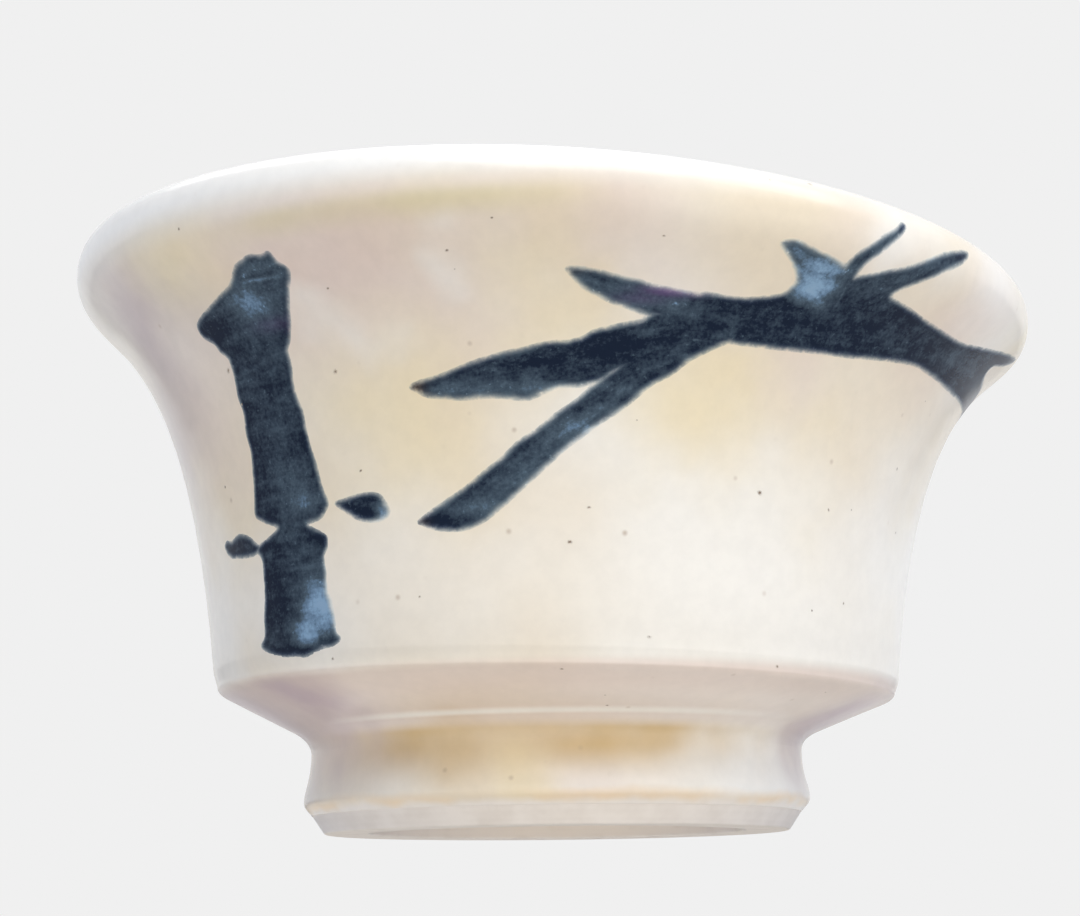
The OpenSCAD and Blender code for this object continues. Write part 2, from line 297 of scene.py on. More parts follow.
def inner_skin(form):
    """The glazed inside, from the crest of the lip down to the centre of the floor."""
    crest = at(form.rim_radius - form.lip_radius, form.crest_height)
    centre = crest - at(0, form.lip_radius)
    turn = form.lip_turn
    lip_end = centre + form.lip_radius * at(math.cos(turn), math.sin(turn))
    inner_radius = form.shoulder_radius + form.wall_spread / 3 - form.wall_thickness
    side = at(inner_radius, form.well_height)
    floor = at(form.rest_radius / 4, form.floor_height)
    return [
        crest,
        *arc(centre, form.lip_radius, 90, math.degrees(turn), 18),
        *curve(lip_end, lip_end + form.lip_drop * at(-math.sin(turn), math.cos(turn)),
               side + at(form.wall_spread, lip_height(form) - form.well_height) / 2, side, 56),
        *curve(side, side - at(form.wall_spread / 6, (form.well_height - form.floor_height) * 2 / 3),
               floor + at((side[0] - floor[0]) * 2 / 3, 0), floor, 36),
        *straight(floor, at(0, form.floor_height), 8),
    ]


def foot_flare(form):
    """The clay of the foot under its glaze, from the joint down to the foot's edge."""
    waist = at(form.waist_radius - form.glaze, form.foot_height)
    edge = at(form.edge_radius - form.glaze / 2, form.edge_height)
    drop = form.foot_height - form.edge_height
    return [
        waist,
        *curve(waist, waist - at(0, drop / 2), edge + at(-form.glaze / 2, drop / 4), edge, 24),
    ]


def outside_coat(form):
    """Closed outline of the glaze outside: its skin, then back down its inner face."""
    skin = outer_skin(form)
    back = inset(skin, form.glaze)
    return [*tight(skin), *back[-1:2:-4], foot_flare(form)[0], skin[0]]


def inside_coat(form):
    """Outline of the glaze inside, from the axis up its hidden face and down its skin."""
    skin = inner_skin(form)
    back = inset(skin, form.glaze)
    return [at(0, form.floor_height - form.glaze), *back[-4:0:-4], back[0], *tight(skin)]


def foot_coat(form):
    """Closed outline of the glaze on the foot, which runs a little way over the edge and ends
    in a thin bead on the chamfer."""
    flare = foot_flare(form)
    edge = flare[-1]
    down = unit(at(form.rest_radius, 0) - edge)
    out = at(-down[1], down[0])
    end = edge + form.overrun * down
    bead = edge + 0.7 * form.overrun * down + form.glaze / 8 * out
    brow = at(form.edge_radius, form.edge_height + form.glaze)
    corner = at(form.edge_radius, form.edge_height + form.glaze / 8)
    joint = at(form.waist_radius, form.foot_height)
    drop = form.foot_height - form.edge_height
    up = [
        end,
        *curve(end, end + form.glaze / 10 * out, bead + form.glaze / 4 * down, bead, 8),
        *curve(bead, corner + form.glaze / 4 * down, corner, brow, 16),
        *curve(brow, brow + at(0, drop / 5), joint - at(0, drop / 2), joint, 40),
    ]
    sunk = form.glaze / 10 * out
    return [*tight(up), *flare[:-1:3], edge - sunk, end - sunk, end]


def bowl_body(form):
    """Outline of the bowl's clay, with turning marks on the ceiling of the recess."""
    inner_wall = form.rest_radius - form.rest_width - form.recess_draft
    ceiling = [
        at(r, form.foot_height + MARK_DEPTH * math.sin(TURN * r / MARK_PITCH))
        for r in np.linspace(0, inner_wall, 90)
    ]
    outside = inset(outer_skin(form), form.glaze)[4::4]
    inside = inset(inner_skin(form), form.glaze)[::4]
    under = at(0, form.floor_height - form.glaze)
    return [*ceiling, foot_flare(form)[0], *outside, *inside, under]


def foot_body(form):
    """Closed outline of the foot ring's clay, round its recess, resting face and chamfer."""
    rest_inner = at(form.rest_radius - form.rest_width, 0)
    rest_outer = at(form.rest_radius, 0)
    corner = rest_inner + at(-form.recess_draft, form.foot_height)
    ceiling, wall_top = corner - at(COVE, 0), corner - at(0, COVE)
    flare = foot_flare(form)
    edge = flare[-1]
    lift, side = at(0, SOFT_CORNER), at(SOFT_CORNER, 0)
    chamfer_foot = rest_outer + SOFT_CORNER * unit(edge - rest_outer)
    return [
        ceiling,
        *curve(ceiling, (ceiling + corner) / 2, (wall_top + corner) / 2, wall_top, 8),
        *straight(wall_top, rest_inner + lift, 24),
        *curve(rest_inner + lift, rest_inner + lift / 3, rest_inner + side / 3,
               rest_inner + side, 8),
        *straight(rest_inner + side, rest_outer - side, 12),
        *curve(rest_outer - side, rest_outer, rest_outer, chamfer_foot, 8),
        *straight(chamfer_foot, edge, 16),
        *flare[-2::-1],
        ceiling,
    ]


# The brushwork. Each stroke has the direction of its bristle marks in degrees from level, the
# paleness of its pigment, and its outline in degrees of azimuth and millimetres of height. One
# of them is a thin wash.
THIN_STROKE = "sprig_bud"
STROKES = {
    "culm_base": (2, 0.06, [
        (-45.2, 19), (-47.6, 18.5), (-49.6, 18.2), (-51, 17.7), (-49.9, 17.1), (-50.1, 16),
        (-50.3, 14.6), (-51.1, 13.2), (-51.3, 12.2), (-52.4, 11.6), (-50.4, 11.1), (-46.8, 10.75),
        (-43.6, 10.7), (-41.6, 10.6), (-39.6, 10.8), (-37.4, 11), (-35.2, 11.2), (-34, 11.6),
        (-34.7, 12), (-34.8, 12.8), (-35.3, 14.1), (-35.9, 14.8), (-35.9, 15.9), (-36.1, 16.8),
        (-35.2, 17.5), (-35.3, 18.2), (-37.6, 18.7), (-38.8, 19), (-39, 19.8), (-45, 19.8),
    ]),
    "culm_middle": (2, 0.07, [
        (-46.5, 30.6), (-47.7, 29.7), (-47.9, 28.8), (-48.5, 27.4), (-48.3, 26.4), (-48.8, 25.2),
        (-48.7, 23.9), (-49.3, 22.3), (-49.9, 21.1), (-50.3, 20), (-48.4, 19.5), (-46.4, 19.2),
        (-45, 18.9), (-44.8, 18.2), (-39.2, 18.2), (-38.9, 18.9), (-37.6, 19.05), (-35.8, 19.3),
        (-34.3, 20.1), (-34.7, 20.8), (-35.2, 21.6), (-35.5, 22.6), (-36, 23.7), (-36.3, 24.8),
        (-36.3, 26), (-36.8, 26.8), (-36.9, 27.7), (-36.5, 28.6), (-36.4, 29.6), (-36.6, 30.6),
    ]),
    "culm_top": (6, 0.14, [
        (-37.4, 34.7), (-35.8, 34.9), (-34.4, 34.8), (-33, 34.9), (-32.5, 34.4), (-31.5, 34),
        (-31.7, 33.6), (-32.6, 33), (-33.6, 32.1), (-34.4, 31.2), (-35.3, 30.3), (-36.4, 29.6),
        (-37.5, 28.8), (-46.5, 28.8), (-47.6, 29.7), (-49, 30.3), (-49.6, 30.8), (-51.3, 31.3),
        (-51.5, 31.9), (-50.1, 32.3), (-46.7, 32.8), (-43.5, 33.3), (-41.5, 33.6), (-40.2, 34),
        (-38.8, 34.5),
    ]),
    "bud_left": (5, 0.0, [
        (-61.5, 18.5), (-60.4, 18.8), (-58.6, 18.7), (-56, 19), (-53.3, 18.8), (-51.4, 18.3),
        (-50.2, 17.9), (-52, 17.5), (-55.4, 17.5), (-57.4, 17.6), (-59.4, 17.7), (-60.9, 18.1),
    ]),
    "bud_right": (-10, -0.1, [
        (-33, 20.1), (-31.5, 20.3), (-29.3, 20.5), (-26.9, 20.6), (-25.2, 20.4), (-24.6, 20),
        (-24, 19.5), (-24.6, 19), (-26.6, 18.8), (-29.2, 19), (-31.1, 19.5),
    ]),
    "leaf_low": (32, 0.06, [
        (24, 31.8), (20, 31.4), (15, 30.4), (10, 28.9), (6.6, 27.6), (4.9, 26.9), (3, 26.1),
        (0.5, 25.3), (-2.1, 24.3), (-4.7, 23.5), (-7.1, 22.5), (-8.9, 21.9), (-11.7, 20.9),
        (-14.2, 20.2), (-16.8, 19.5), (-19.4, 18.7), (-19, 18.5), (-17.3, 18.2), (-15.4, 18.1),
        (-12.9, 18.1), (-10.4, 18.5), (-8.6, 19), (-6.1, 19.9), (-3.7, 20.9), (-0.7, 22.1), (1.3, 23),
        (3.8, 23.9), (6.6, 24.9), (9.1, 25.7), (11, 26.5), (13.1, 27.4), (15.5, 28.1), (17.6, 29),
        (19.9, 29.7), (22.6, 30.4), (26, 30.6),
    ]),
    "leaf_long": (12, 0.03, [
        (-18.9, 26.9), (-17.6, 27.2), (-15.8, 27.4), (-14.3, 27.6), (-12.5, 27.9), (-10.2, 28.3),
        (-8, 28.6), (-5.8, 28.9), (-3.7, 29.1), (-1.5, 29.4), (0.6, 29.6), (1.9, 29.6), (3.9, 29.9),
        (5.2, 30.3), (7.2, 30.6), (9.3, 30.9), (11, 31.1), (12.2, 31.5), (13.7, 31.9), (15.3, 32.4),
        (17, 32.7), (21.5, 32.8), (25, 32.4), (23, 30.8), (14, 29), (8.6, 28.1), (6.6, 27.5),
        (4.9, 27.2), (3.5, 27), (1.1, 26.9), (-1.1, 26.5), (-3.4, 26.1), (-6.1, 26.2), (-8.9, 26.2),
        (-11.8, 26.1), (-14.6, 26.2), (-16.6, 26.3), (-17.9, 26.6),
    ]),
    "leaf_high": (-8, 0.24, [
        (1.8, 33.6), (3.2, 33.7), (5.3, 33.6), (7.7, 33.4), (9.7, 33.3), (11.7, 33.1), (14.1, 33),
        (16.6, 32.9), (19.5, 32.8), (19, 31.8), (14.5, 31.4), (11.7, 31.4), (10.1, 31.6), (8.6, 31.8),
        (7, 32), (5.5, 32.3), (4, 32.6), (3, 33),
    ]),
    "branch": (4, -0.05, [
        (17.5, 32.8), (20.8, 32.9), (23.7, 33), (26.4, 33.3), (28, 33.6), (28.6, 34.3), (29.6, 35),
        (31.6, 35.3), (34, 35.3), (37, 35), (39.5, 34.9), (41.6, 34.8), (43, 34.6), (46.1, 34.4),
        (50.6, 34.1), (56.4, 33.9), (61.7, 33.9), (70.2, 34.6), (78, 35.4), (85.5, 36.1), (82, 35.1),
        (77, 34.3), (78.6, 33.6), (84, 33.4), (92, 32.9), (100, 32.4), (108, 32.2), (101, 31.6),
        (93, 31.3), (85, 31.5), (76, 31.4), (68, 31.3), (59, 31.5), (54.1, 31.6), (47.8, 31.3),
        (41.4, 30.9), (35.9, 30.7), (30.8, 30.5), (26, 30.4), (22.4, 30.4), (18.5, 30.6),
    ]),
    "sprig_bud": (-20, 0.4, [
        (25, 36), (26.1, 36.3), (27.7, 36.2), (29.5, 36), (31.1, 35.9), (32.8, 35.7), (34.4, 35.4),
        (35, 34.4), (32, 33.4), (29.4, 33.4), (28.9, 34), (28.2, 34.6), (27.2, 35.1), (26.1, 35.5),
    ]),
    "sprig_short": (55, 0.14, [
        (33.2, 34.6), (33.7, 35.3), (34, 35.8), (35, 36.5), (36.3, 37.1), (37.6, 37.8), (39.2, 38.4),
        (40.4, 39), (40.8, 38.8), (39.7, 38), (38.4, 37.2), (37.2, 36.5), (36.2, 35.9), (35.9, 35.2),
        (36.4, 34.5),
    ]),
    "sprig_long": (30, 0.14, [
        (34.6, 34.5), (35.8, 35.1), (38, 35.5), (39.9, 35.9), (42.2, 36.4), (44.4, 37.1), (46.6, 37.8),
        (49.7, 38.5), (52.2, 38.9), (52, 38.5), (50.6, 37.8), (47.8, 36.8), (45.6, 36), (43.7, 35.4),
        (42.3, 34.8), (42.6, 34.3), (38, 34.2),
    ]),
}

# Where the pigment was thinned or pooled, or took a stain: azimuth in degrees, height, reach
# round the wall and up it in millimetres, and strength.
WASHES = [
    (-35.8, 34.3, 2.3, 0.5, 0.2), (-37, 33.65, 3, 0.1, 0.42), (-39.6, 32.5, 1.6, 1.2, 0.52),
    (-36, 32.6, 1.2, 0.6, 0.15), (-40.2, 21.2, 1.8, 1.9, 0.28), (-37.4, 20.4, 1.3, 0.8, 0.36),
    (-37.4, 26.2, 0.6, 0.5, 0.12), (-42, 24.8, 1.6, 1.4, 0.08), (-37.4, 13.6, 1.8, 2.2, 0.9),
    (-40.3, 12.1, 1.6, 1, 0.8), (-38.8, 16.2, 1.6, 0.5, 0.3), (-38.6, 17.6, 1.2, 0.4, 0.12),
    (-25, 19.4, 0.6, 0.8, 0.7), (-26.3, 18.8, 1.2, 0.22, 0.5), (-13.4, 26.7, 2.3, 0.45, 0.4),
    (-8, 26.7, 2.6, 0.6, 0.4), (-1.4, 26.8, 2.4, 0.5, 0.4), (-9.8, 19.5, 2.2, 0.5, 0.3),
    (-5, 21.1, 2.2, 0.6, 0.3), (0, 22.9, 2.2, 0.55, 0.3), (4, 24.5, 1.8, 0.5, 0.36),
    (5, 25.1, 1.2, 0.9, 0.25),
    (8.2, 25.7, 1.4, 0.45, 0.42), (6.4, 27.1, 1, 0.4, 0.2), (11.6, 27, 1.6, 0.4, 0.25),
    (17, 29.2, 1, 0.3, 0.3), (12, 31.9, 2.1, 0.5, 0.12), (15, 32, 1.6, 0.4, 0.1),
    (31.2, 34.2, 1.8, 1.1, 0.85), (31.8, 35.2, 1.7, 0.6, 0.6), (33, 33.4, 0.9, 0.5, 0.5),
    (35.4, 34, 0.16, 0.9, 0.4), (38, 33.6, 1.8, 0.9, 0.12), (48, 32.4, 3, 1, 0.1),
    (47.5, 37.2, 3, 0.8, 0.16), (38, 37.3, 2, 1, 0.12), (66, 33, 5, 1, 0.14),
    (80, 33.4, 4, 1.4, 0.2), (104, 32.2, 3, 0.8, 0.4), (22, 31.8, 1.4, 0.4, 0.1),
]
# Pale lower edge of the low leaf
WASHES += [(*place, 1.2, 0.9, 0.3) for place in (
    (-8.2, 19.7), (-6.7, 20.4), (-5.2, 21.1), (-3.5, 21.8), (-1.7, 22.5), (-0.2, 23.2),
    (1.4, 23.9), (3.1, 24.5),
)]
POOLS = [
    (-48.6, 31.4, 2.4, 1.1, 0.3), (-45, 30.4, 2.4, 0.6, 0.16), (-47.5, 24, 1.1, 5, 0.12),
    (-48, 14.6, 2, 3, 0.16), (-43.5, 11, 4, 0.45, 0.3), (-36, 11.4, 1.4, 0.4, 0.3),
    (-36, 18, 1, 0.5, 0.2), (-49, 18, 1, 0.5, 0.2), (-48.5, 19.8, 1.4, 0.4, 0.16),
    (-35.4, 20, 0.9, 0.5, 0.16), (-36.8, 24, 0.5, 3, 0.1), (-17, 18.6, 1.6, 0.5, 0.3),
    (-6, 28.3, 6, 0.6, 0.06), (8, 29.6, 5, 0.8, 0.14), (-8, 21.6, 2.4, 0.5, 0.12),
    (3, 25.7, 3, 0.5, 0.14), (40.4, 38.6, 1, 0.5, 0.2), (51, 38.3, 1.4, 0.5, 0.2),
    (26, 36, 0.8, 0.3, 0.14),
]
PURPLES = [(13.6, 32.8, 1.8, 0.35, 0.75), (10.5, 32.3, 1.6, 0.4, 0.3), (-37, 31.2, 1.8, 0.5, 0.2)]
BROWNS = [(-18, 26.8, 0.7, 0.6, 0.9), (-19, 18.6, 0.6, 0.4, 0.5), (2.4, 33.4, 0.8, 0.3, 0.4)]

# A stroke's sheet: its fineness, how far it reaches past the ink in millimetres, its lift off
# the wall, how far each stroke lies above the last, and its depth under the glaze
STROKE_CELL = 0.16 * MM
STROKE_MARGIN = 0.4
STROKE_LIFT = 0.012 * MM
STROKE_ORDER = 0.002 * MM
STROKE_DEPTH = 0.08 * MM
# Millimetres over which the tones of two strokes run into each other, and how near another
# stroke has to be for that, in degrees and millimetres
TONE_BLEND = 1.6
NEIGHBOUR_REACH = 2
# Points of the curve between two points of an outline
OUTLINE_STEPS = 4

# Specks of iron that show on the front: azimuth in degrees, height and breadth in millimetres
SPECKS = [
    (30.6, 21.4, 0.3), (2.3, 17.4, 0.28), (-29.5, 28.1, 0.3), (-48.8, 29.1, 0.3),
    (-9.8, 27.6, 0.2), (-11.4, 34.4, 0.22), (-48, 27, 0.18), (14, 11.6, 0.22), (44, 21, 0.2),
    (-36, 10.4, 0.22), (36, 10.2, 0.2), (5, 19.6, 0.2), (50, 15, 0.18), (-28, 22, 0.18),
    (12, 35.6, 0.18), (-6, 36, 0.16), (60, 25, 0.2), (-20, 14, 0.16),
]


def smooth_outline(points):
    """A closed curve through an outline's points."""
    p = np.array(points, float)
    before, after, beyond = np.roll(p, 1, 0), np.roll(p, -1, 0), np.roll(p, -2, 0)
    rows = []
    for t in np.arange(OUTLINE_STEPS) / OUTLINE_STEPS:
        rows.append(
            (1 + 2 * t) * (1 - t) ** 2 * p + t * (1 - t) ** 2 * (after - before) / 2
            + t * t * (3 - 2 * t) * after + t * t * (t - 1) * (beyond - p) / 2
        )
    return np.stack(rows, axis=1).reshape(-1, 2)


class Wall:
    """The cup's outer wall as a surface of azimuth and height, for laying strokes on it."""

    def __init__(self, form):
        line = np.array(outer_skin(form))
        self.heights, self.radii = line[:, 1], line[:, 0]
        self.tilt_heights = [form.foot_height, form.shoulder_height, lip_height(form)]
        self.tilts = [0, math.tan(form.shoulder_tilt), math.tan(form.rim_tilt)]

    def radius(self, height):
        return np.interp(height, self.heights, self.radii)

    def place(self, azimuth, height):
        """Points in space for azimuths in radians and heights in metres."""
        r = self.radius(height)
        x = r * np.sin(azimuth)
        drop = x * np.interp(height, self.tilt_heights, self.tilts)
        return np.stack([x, -r * np.cos(azimuth), height - drop], axis=-1)


def inside_outline(azimuth, height, outline):
    """Which points lie inside a closed outline."""
    found = np.zeros(azimuth.shape, bool)
    for (a0, h0), (a1, h1) in zip(outline, np.roll(outline, -1, 0)):
        crosses = (h0 > height) != (h1 > height)
        if h0 != h1:
            found ^= crosses & (azimuth < a0 + (height - h0) * (a1 - a0) / (h1 - h0))
    return found


def depth_in_outline(points, azimuth, height, outline, wall):
    """Distance in millimetres from points to an outline on the wall, positive inside it."""
    ends = wall.place(np.radians(outline[:, 0]), outline[:, 1] * MM)
    nearest = np.full(len(points), np.inf)
    for start, end in zip(ends, np.roll(ends, -1, 0)):
        run = end - start
        share = np.clip((points - start) @ run / (run @ run), 0, 1)
        gap = points - start - share[:, None] * run
        nearest = np.minimum(nearest, np.einsum("ij,ij->i", gap, gap))
    sign = np.where(inside_outline(azimuth, height, outline), 1, -1)
    return sign * np.sqrt(nearest) / MM


def spots(points, table, wall):
    """How strongly a table of soft spots touches each point."""
    total = np.zeros(len(points))
    for azimuth, height, across, up, strength in table:
        az = math.radians(azimuth)
        away = (points - wall.place(az, height * MM)) / MM
        sideways = away @ np.array([math.cos(az), math.sin(az), 0])
        upright = np.hypot(away @ np.array([math.sin(az), -math.cos(az), 0]), away[:, 2])
        reach = (sideways / across) ** 2 + (upright / up) ** 2
        total = np.maximum(total, strength * np.exp(-reach))
    return total


def stroke_sheet(name, outlines, wall, order):
    """A thin closed sheet for one stroke, laid flat: x is its azimuth, y its lift off the wall
    and z its height. Its attributes say how far inside the ink each point lies, how thin or
    stained the pigment is there, and which way the bristles went."""
    own = outlines[name]
    low, high = own.min(0), own.max(0)
    radius = wall.radius(low[1] * MM)
    step_az = STROKE_CELL / radius
    margin = 2 * STROKE_MARGIN * MM
    azimuths = np.arange(
        math.radians(low[0]) - margin / radius, math.radians(high[0]) + margin / radius, step_az
    )
    heights = np.arange(low[1] * MM - margin, high[1] * MM + margin, STROKE_CELL)
    az, height = (g.ravel() for g in np.meshgrid(azimuths, heights))
    points = wall.place(az, height)
    degrees, level = np.degrees(az), height / MM
    depths = {
        n: depth_in_outline(points, degrees, level, o, wall)
        for n, o in outlines.items()
        if (o.min(0) <= high + NEIGHBOUR_REACH).all() and (o.max(0) >= low - NEIGHBOUR_REACH).all()
    }
    edge = np.maximum.reduce(list(depths.values()))
    keep = depths[name] > -STROKE_MARGIN

    columns = len(azimuths)
    grid = np.arange(len(az)).reshape(len(heights), columns)
    corners = np.stack([grid[:-1, :-1], grid[:-1, 1:], grid[1:, 1:], grid[1:, :-1]], axis=-1)
    cells = corners.reshape(-1, 4)
    cells = cells[keep[cells].any(axis=1)]
    used = np.unique(cells)
    slot_of = np.full(len(az), -1)
    slot_of[used] = np.arange(len(used))
    cells = slot_of[cells]
    az, height, edge, points = az[used], height[used], edge[used], points[used]

    share = np.clip((edge + STROKE_MARGIN) / (2 * STROKE_MARGIN), 0, 1)
    share = share * share * (3 - 2 * share)
    lift = (2 * share - 1) * STROKE_LIFT + order * STROKE_ORDER * share
    count = len(az)
    top = np.stack([az, lift, height], axis=1)
    under = np.stack([az, np.full(count, -STROKE_DEPTH), height], axis=1)
    faces = [*cells.tolist(), *(cells[:, ::-1] + count).tolist()]
    sides = {}
    for cell in cells:
        for a, b in zip(cell, np.roll(cell, -1)):
            sides[(a, b)] = (b, a) not in sides
            if (b, a) in sides:
                sides[(b, a)] = False
    faces += [[b, a, a + count, b + count] for (a, b), alone in sides.items() if alone]

    mesh = bpy.data.meshes.new(name)
    mesh.from_pydata(np.concatenate([top, under]).tolist(), [], faces)
    turn = math.radians(STROKES[name][0])
    round_wall, up_wall = az * wall.radius(height) / MM, height / MM
    along = round_wall * math.cos(turn) + up_wall * math.sin(turn)
    across = up_wall * math.cos(turn) - round_wall * math.sin(turn)
    pigment = [spots(points, table, wall) for table in (WASHES, PURPLES, BROWNS)]
    shares = {n: np.clip(d[used] / TONE_BLEND + 0.5, 0.001, 1) ** 2 for n, d in depths.items()}
    tone = sum(share * STROKES[n][1] for n, share in shares.items())
    pigment[0] += tone / sum(shares.values()) - spots(points, POOLS, wall)
    store(mesh, "radius", np.tile(wall.radius(height), 2))
    store(mesh, "edge", np.tile(edge, 2))
    store(mesh, "pigment", np.tile(np.stack(pigment, axis=1), (2, 1)))
    store(mesh, "bristle", np.tile(np.stack([along, across, np.full(count, order)], axis=1), (2, 1)))
    return mesh


def store(mesh, name, values):
    """Writes an attribute of a mesh's points: a number, or a vector of three."""
    kind, field = ("FLOAT_VECTOR", "vector") if values.ndim == 2 else ("FLOAT", "value")
    attribute = mesh.attributes.new(name, kind, "POINT")
    attribute.data.foreach_set(field, values.astype(np.float32).ravel())


# Short ways to write a node tree

class Flow:
    """A value that runs through a node tree. Arithmetic on it adds the nodes that work it out."""

    def __init__(self, socket):
        self.socket = socket
        self.tree = socket.id_data

    def __add__(self, other):
        return calc("ADD", self, other)

    def __sub__(self, other):
        return calc("SUBTRACT", self, other)

    def __rsub__(self, other):
        return calc("SUBTRACT", other, self)

    def __mul__(self, other):
        return calc("MULTIPLY", self, other)

    def __truediv__(self, other):
        return calc("DIVIDE", self, other)

    __radd__ = __add__
    __rmul__ = __mul__


class Made:
    """A node, with its outputs as values, by name or place."""

    def __init__(self, node):
        self.node = node
        self.tree = node.id_data

    def __getitem__(self, key):
        return Flow(self.node.outputs[key])

    def first(self):
        """Its first output in use."""
        return Flow([socket for socket in self.node.outputs if socket.enabled][0])


def feed(socket, value):
    """Joins a value to a socket, or writes a constant into it."""
    if isinstance(value, Flow):
        value.tree.links.new(value.socket, socket)
    else:
        socket.default_value = value


def put(tree, kind, inputs=None, **settings):
    """Adds a node with its settings, and its inputs by name or place."""
    node = tree.nodes.new(kind)
    for key, value in settings.items():
        setattr(node, key, value)
    for key, value in (inputs or {}).items():
        feed(node.inputs[key], value)
    return Made(node)


def step(kind, *values, **settings):
    """Adds a node that works on some values, in the tree that they run through."""
    tree = next(value.tree for value in values if isinstance(value, Flow))
    made = put(tree, kind, **settings)
    for socket, value in zip([s for s in made.node.inputs if s.enabled], values):
        feed(socket, value)
    return made.first()


def calc(operation, *values):
    return step("ShaderNodeMath", *values, operation=operation)


def vector_calc(operation, *values):
    return step("ShaderNodeVectorMath", *values, operation=operation)


def parts(place):
    """The X, Y and Z of a place."""
    return put(place.tree, "ShaderNodeSeparateXYZ", {0: place})


def join(x, y, z):
    return step("ShaderNodeCombineXYZ", x, y, z)


def from_axis(place, unit=1):
    """Distance of a place from the cup's axis."""
    return vector_calc("LENGTH", vector_calc("MULTIPLY", place, (unit, unit, 0)))


def ramp(value, start, end, low=0, high=1, how="SMOOTHSTEP"):
    """A rise from low to high as value goes from start to end."""
    inputs = {"Value": value, "From Min": start, "From Max": end, "To Min": low, "To Max": high}
    return put(value.tree, "ShaderNodeMapRange", inputs, interpolation_type=how)["Result"]


def rise(value, base, start, end, low=0, high=1):
    """A ramp between two distances above a base, in millimetres."""
    return ramp(value, base + start * MM, base + end * MM, low, high)


def noise(place, scale, detail=2, roughness=0.5, output=0):
    """Noise from 0 to 1 at a place."""
    inputs = {"Vector": place, "Scale": scale, "Detail": detail, "Roughness": roughness}
    return put(place.tree, "ShaderNodeTexNoise", inputs)[output]


def blend(share, first, second, how="MIX"):
    """A mix of two colours."""
    return step("ShaderNodeMix", share, first, second, data_type="RGBA", blend_type=how)


def shape(kind, geometry, inputs=None, **settings):
    """A step that changes a shape."""
    return put(geometry.tree, f"GeometryNode{kind}", {0: geometry, **(inputs or {})}, **settings)[0]


def tag(geometry, name, value):
    """Stores a value on each point of a shape."""
    inputs = {"Name": name, "Value": value}
    return shape("StoreNamedAttribute", geometry, inputs, data_type="FLOAT", domain="POINT")


def tagged(tree, name):
    """The value that was stored under a name."""
    made = put(tree, "GeometryNodeInputNamedAttribute", {"Name": name}, data_type="FLOAT")
    return made["Attribute"]


def position(tree):
    return put(tree, "GeometryNodeInputPosition")[0]


def group(name, kind, inputs, outputs):
    """A node group with named sockets, its inputs and its output node."""
    tree = bpy.data.node_groups.new(name, kind)
    for sockets, side in ((inputs, "INPUT"), (outputs, "OUTPUT")):
        for title, sort in sockets.items():
            tree.interface.new_socket(title, in_out=side, socket_type=f"NodeSocket{sort}")
    return tree, Made(tree.nodes.new("NodeGroupInput")), tree.nodes.new("NodeGroupOutput")


def made_once(collection, name):
    """For a function that makes a node group or a material, which a file needs only once."""
    def decorate(make):
        def find(*about):
            return getattr(bpy.data, collection).get(name) or make(name, *about)
        return find
    return decorate


LEAN_INPUTS = dict.fromkeys((
    "Foot height", "Shoulder height", "Lip height", "Shoulder lean", "Rim lean", "Saddle",
    "Relief", "Ring pitch",
), "Float")


def lean_values(form):
    """The values of those inputs for this cup."""
    lean = math.tan(form.shoulder_tilt)
    return dict(zip(LEAN_INPUTS, (
        form.foot_height, form.shoulder_height, lip_height(form), lean,
        math.tan(form.rim_tilt) - lean, form.rim_saddle, form.relief, form.ring_pitch,
    )))


@made_once("node_groups", "Leaning wall")
def leaning_wall(name):
    """Group that turns a radius, an azimuth and a height into a place on the leaning cup, with
    the slight unevenness and the rings that throwing leaves."""
    inputs = {"Radius": "Float", "Azimuth": "Float", "Height": "Float", **LEAN_INPUTS}
    tree, given, result = group(name, "GeometryNodeTree", inputs, {"Place": "Vector"})
    radius, azimuth, height = given["Radius"], given["Azimuth"], given["Height"]
    foot, shoulder, lip = given["Foot height"], given["Shoulder height"], given["Lip height"]
    sine, cosine = calc("SINE", azimuth), calc("COSINE", azimuth)
    plain = join(radius * sine, radius * cosine, height)
    drift = noise(plain, 38, 1) - 0.5
    rings = calc("SINE", height * TURN / given["Ring pitch"] + (azimuth + drift * RING_WANDER))
    swell = (noise(plain, 70, 1) - 0.5 + rings * RING_SHARE) * given["Relief"]
    radius = radius + swell * ramp(radius, 0, EVEN_RADIUS)
    rising = ramp(height, lip * SADDLE_START, lip)
    saddle = calc("COSINE", azimuth * 2) * given["Saddle"] * rising
    low_lean = ramp(height, foot, shoulder, 0, given["Shoulder lean"], "LINEAR")
    high_lean = ramp(height, shoulder, lip, 0, given["Rim lean"], "LINEAR")
    x = radius * sine
    place = join(x, radius * cosine * -1, height + saddle - x * (low_lean + high_lean))
    feed(result.inputs["Place"], place)
    return tree


def on_leaning_wall(given, radius, azimuth, height):
    """A place on the leaning wall, for a tree with those inputs of its own."""
    inputs = {"Radius": radius, "Azimuth": azimuth, "Height": height}
    inputs.update({name: given[name] for name in LEAN_INPUTS})
    return put(given.tree, "GeometryNodeGroup", inputs, node_tree=leaning_wall())["Place"]


def shaping_group(name, inputs):
    """A group that makes a shape from a shape and a material."""
    sockets = {"Geometry": "Geometry", **inputs, "Material": "Material"}
    return group(name, "GeometryNodeTree", sockets, {"Geometry": "Geometry"})


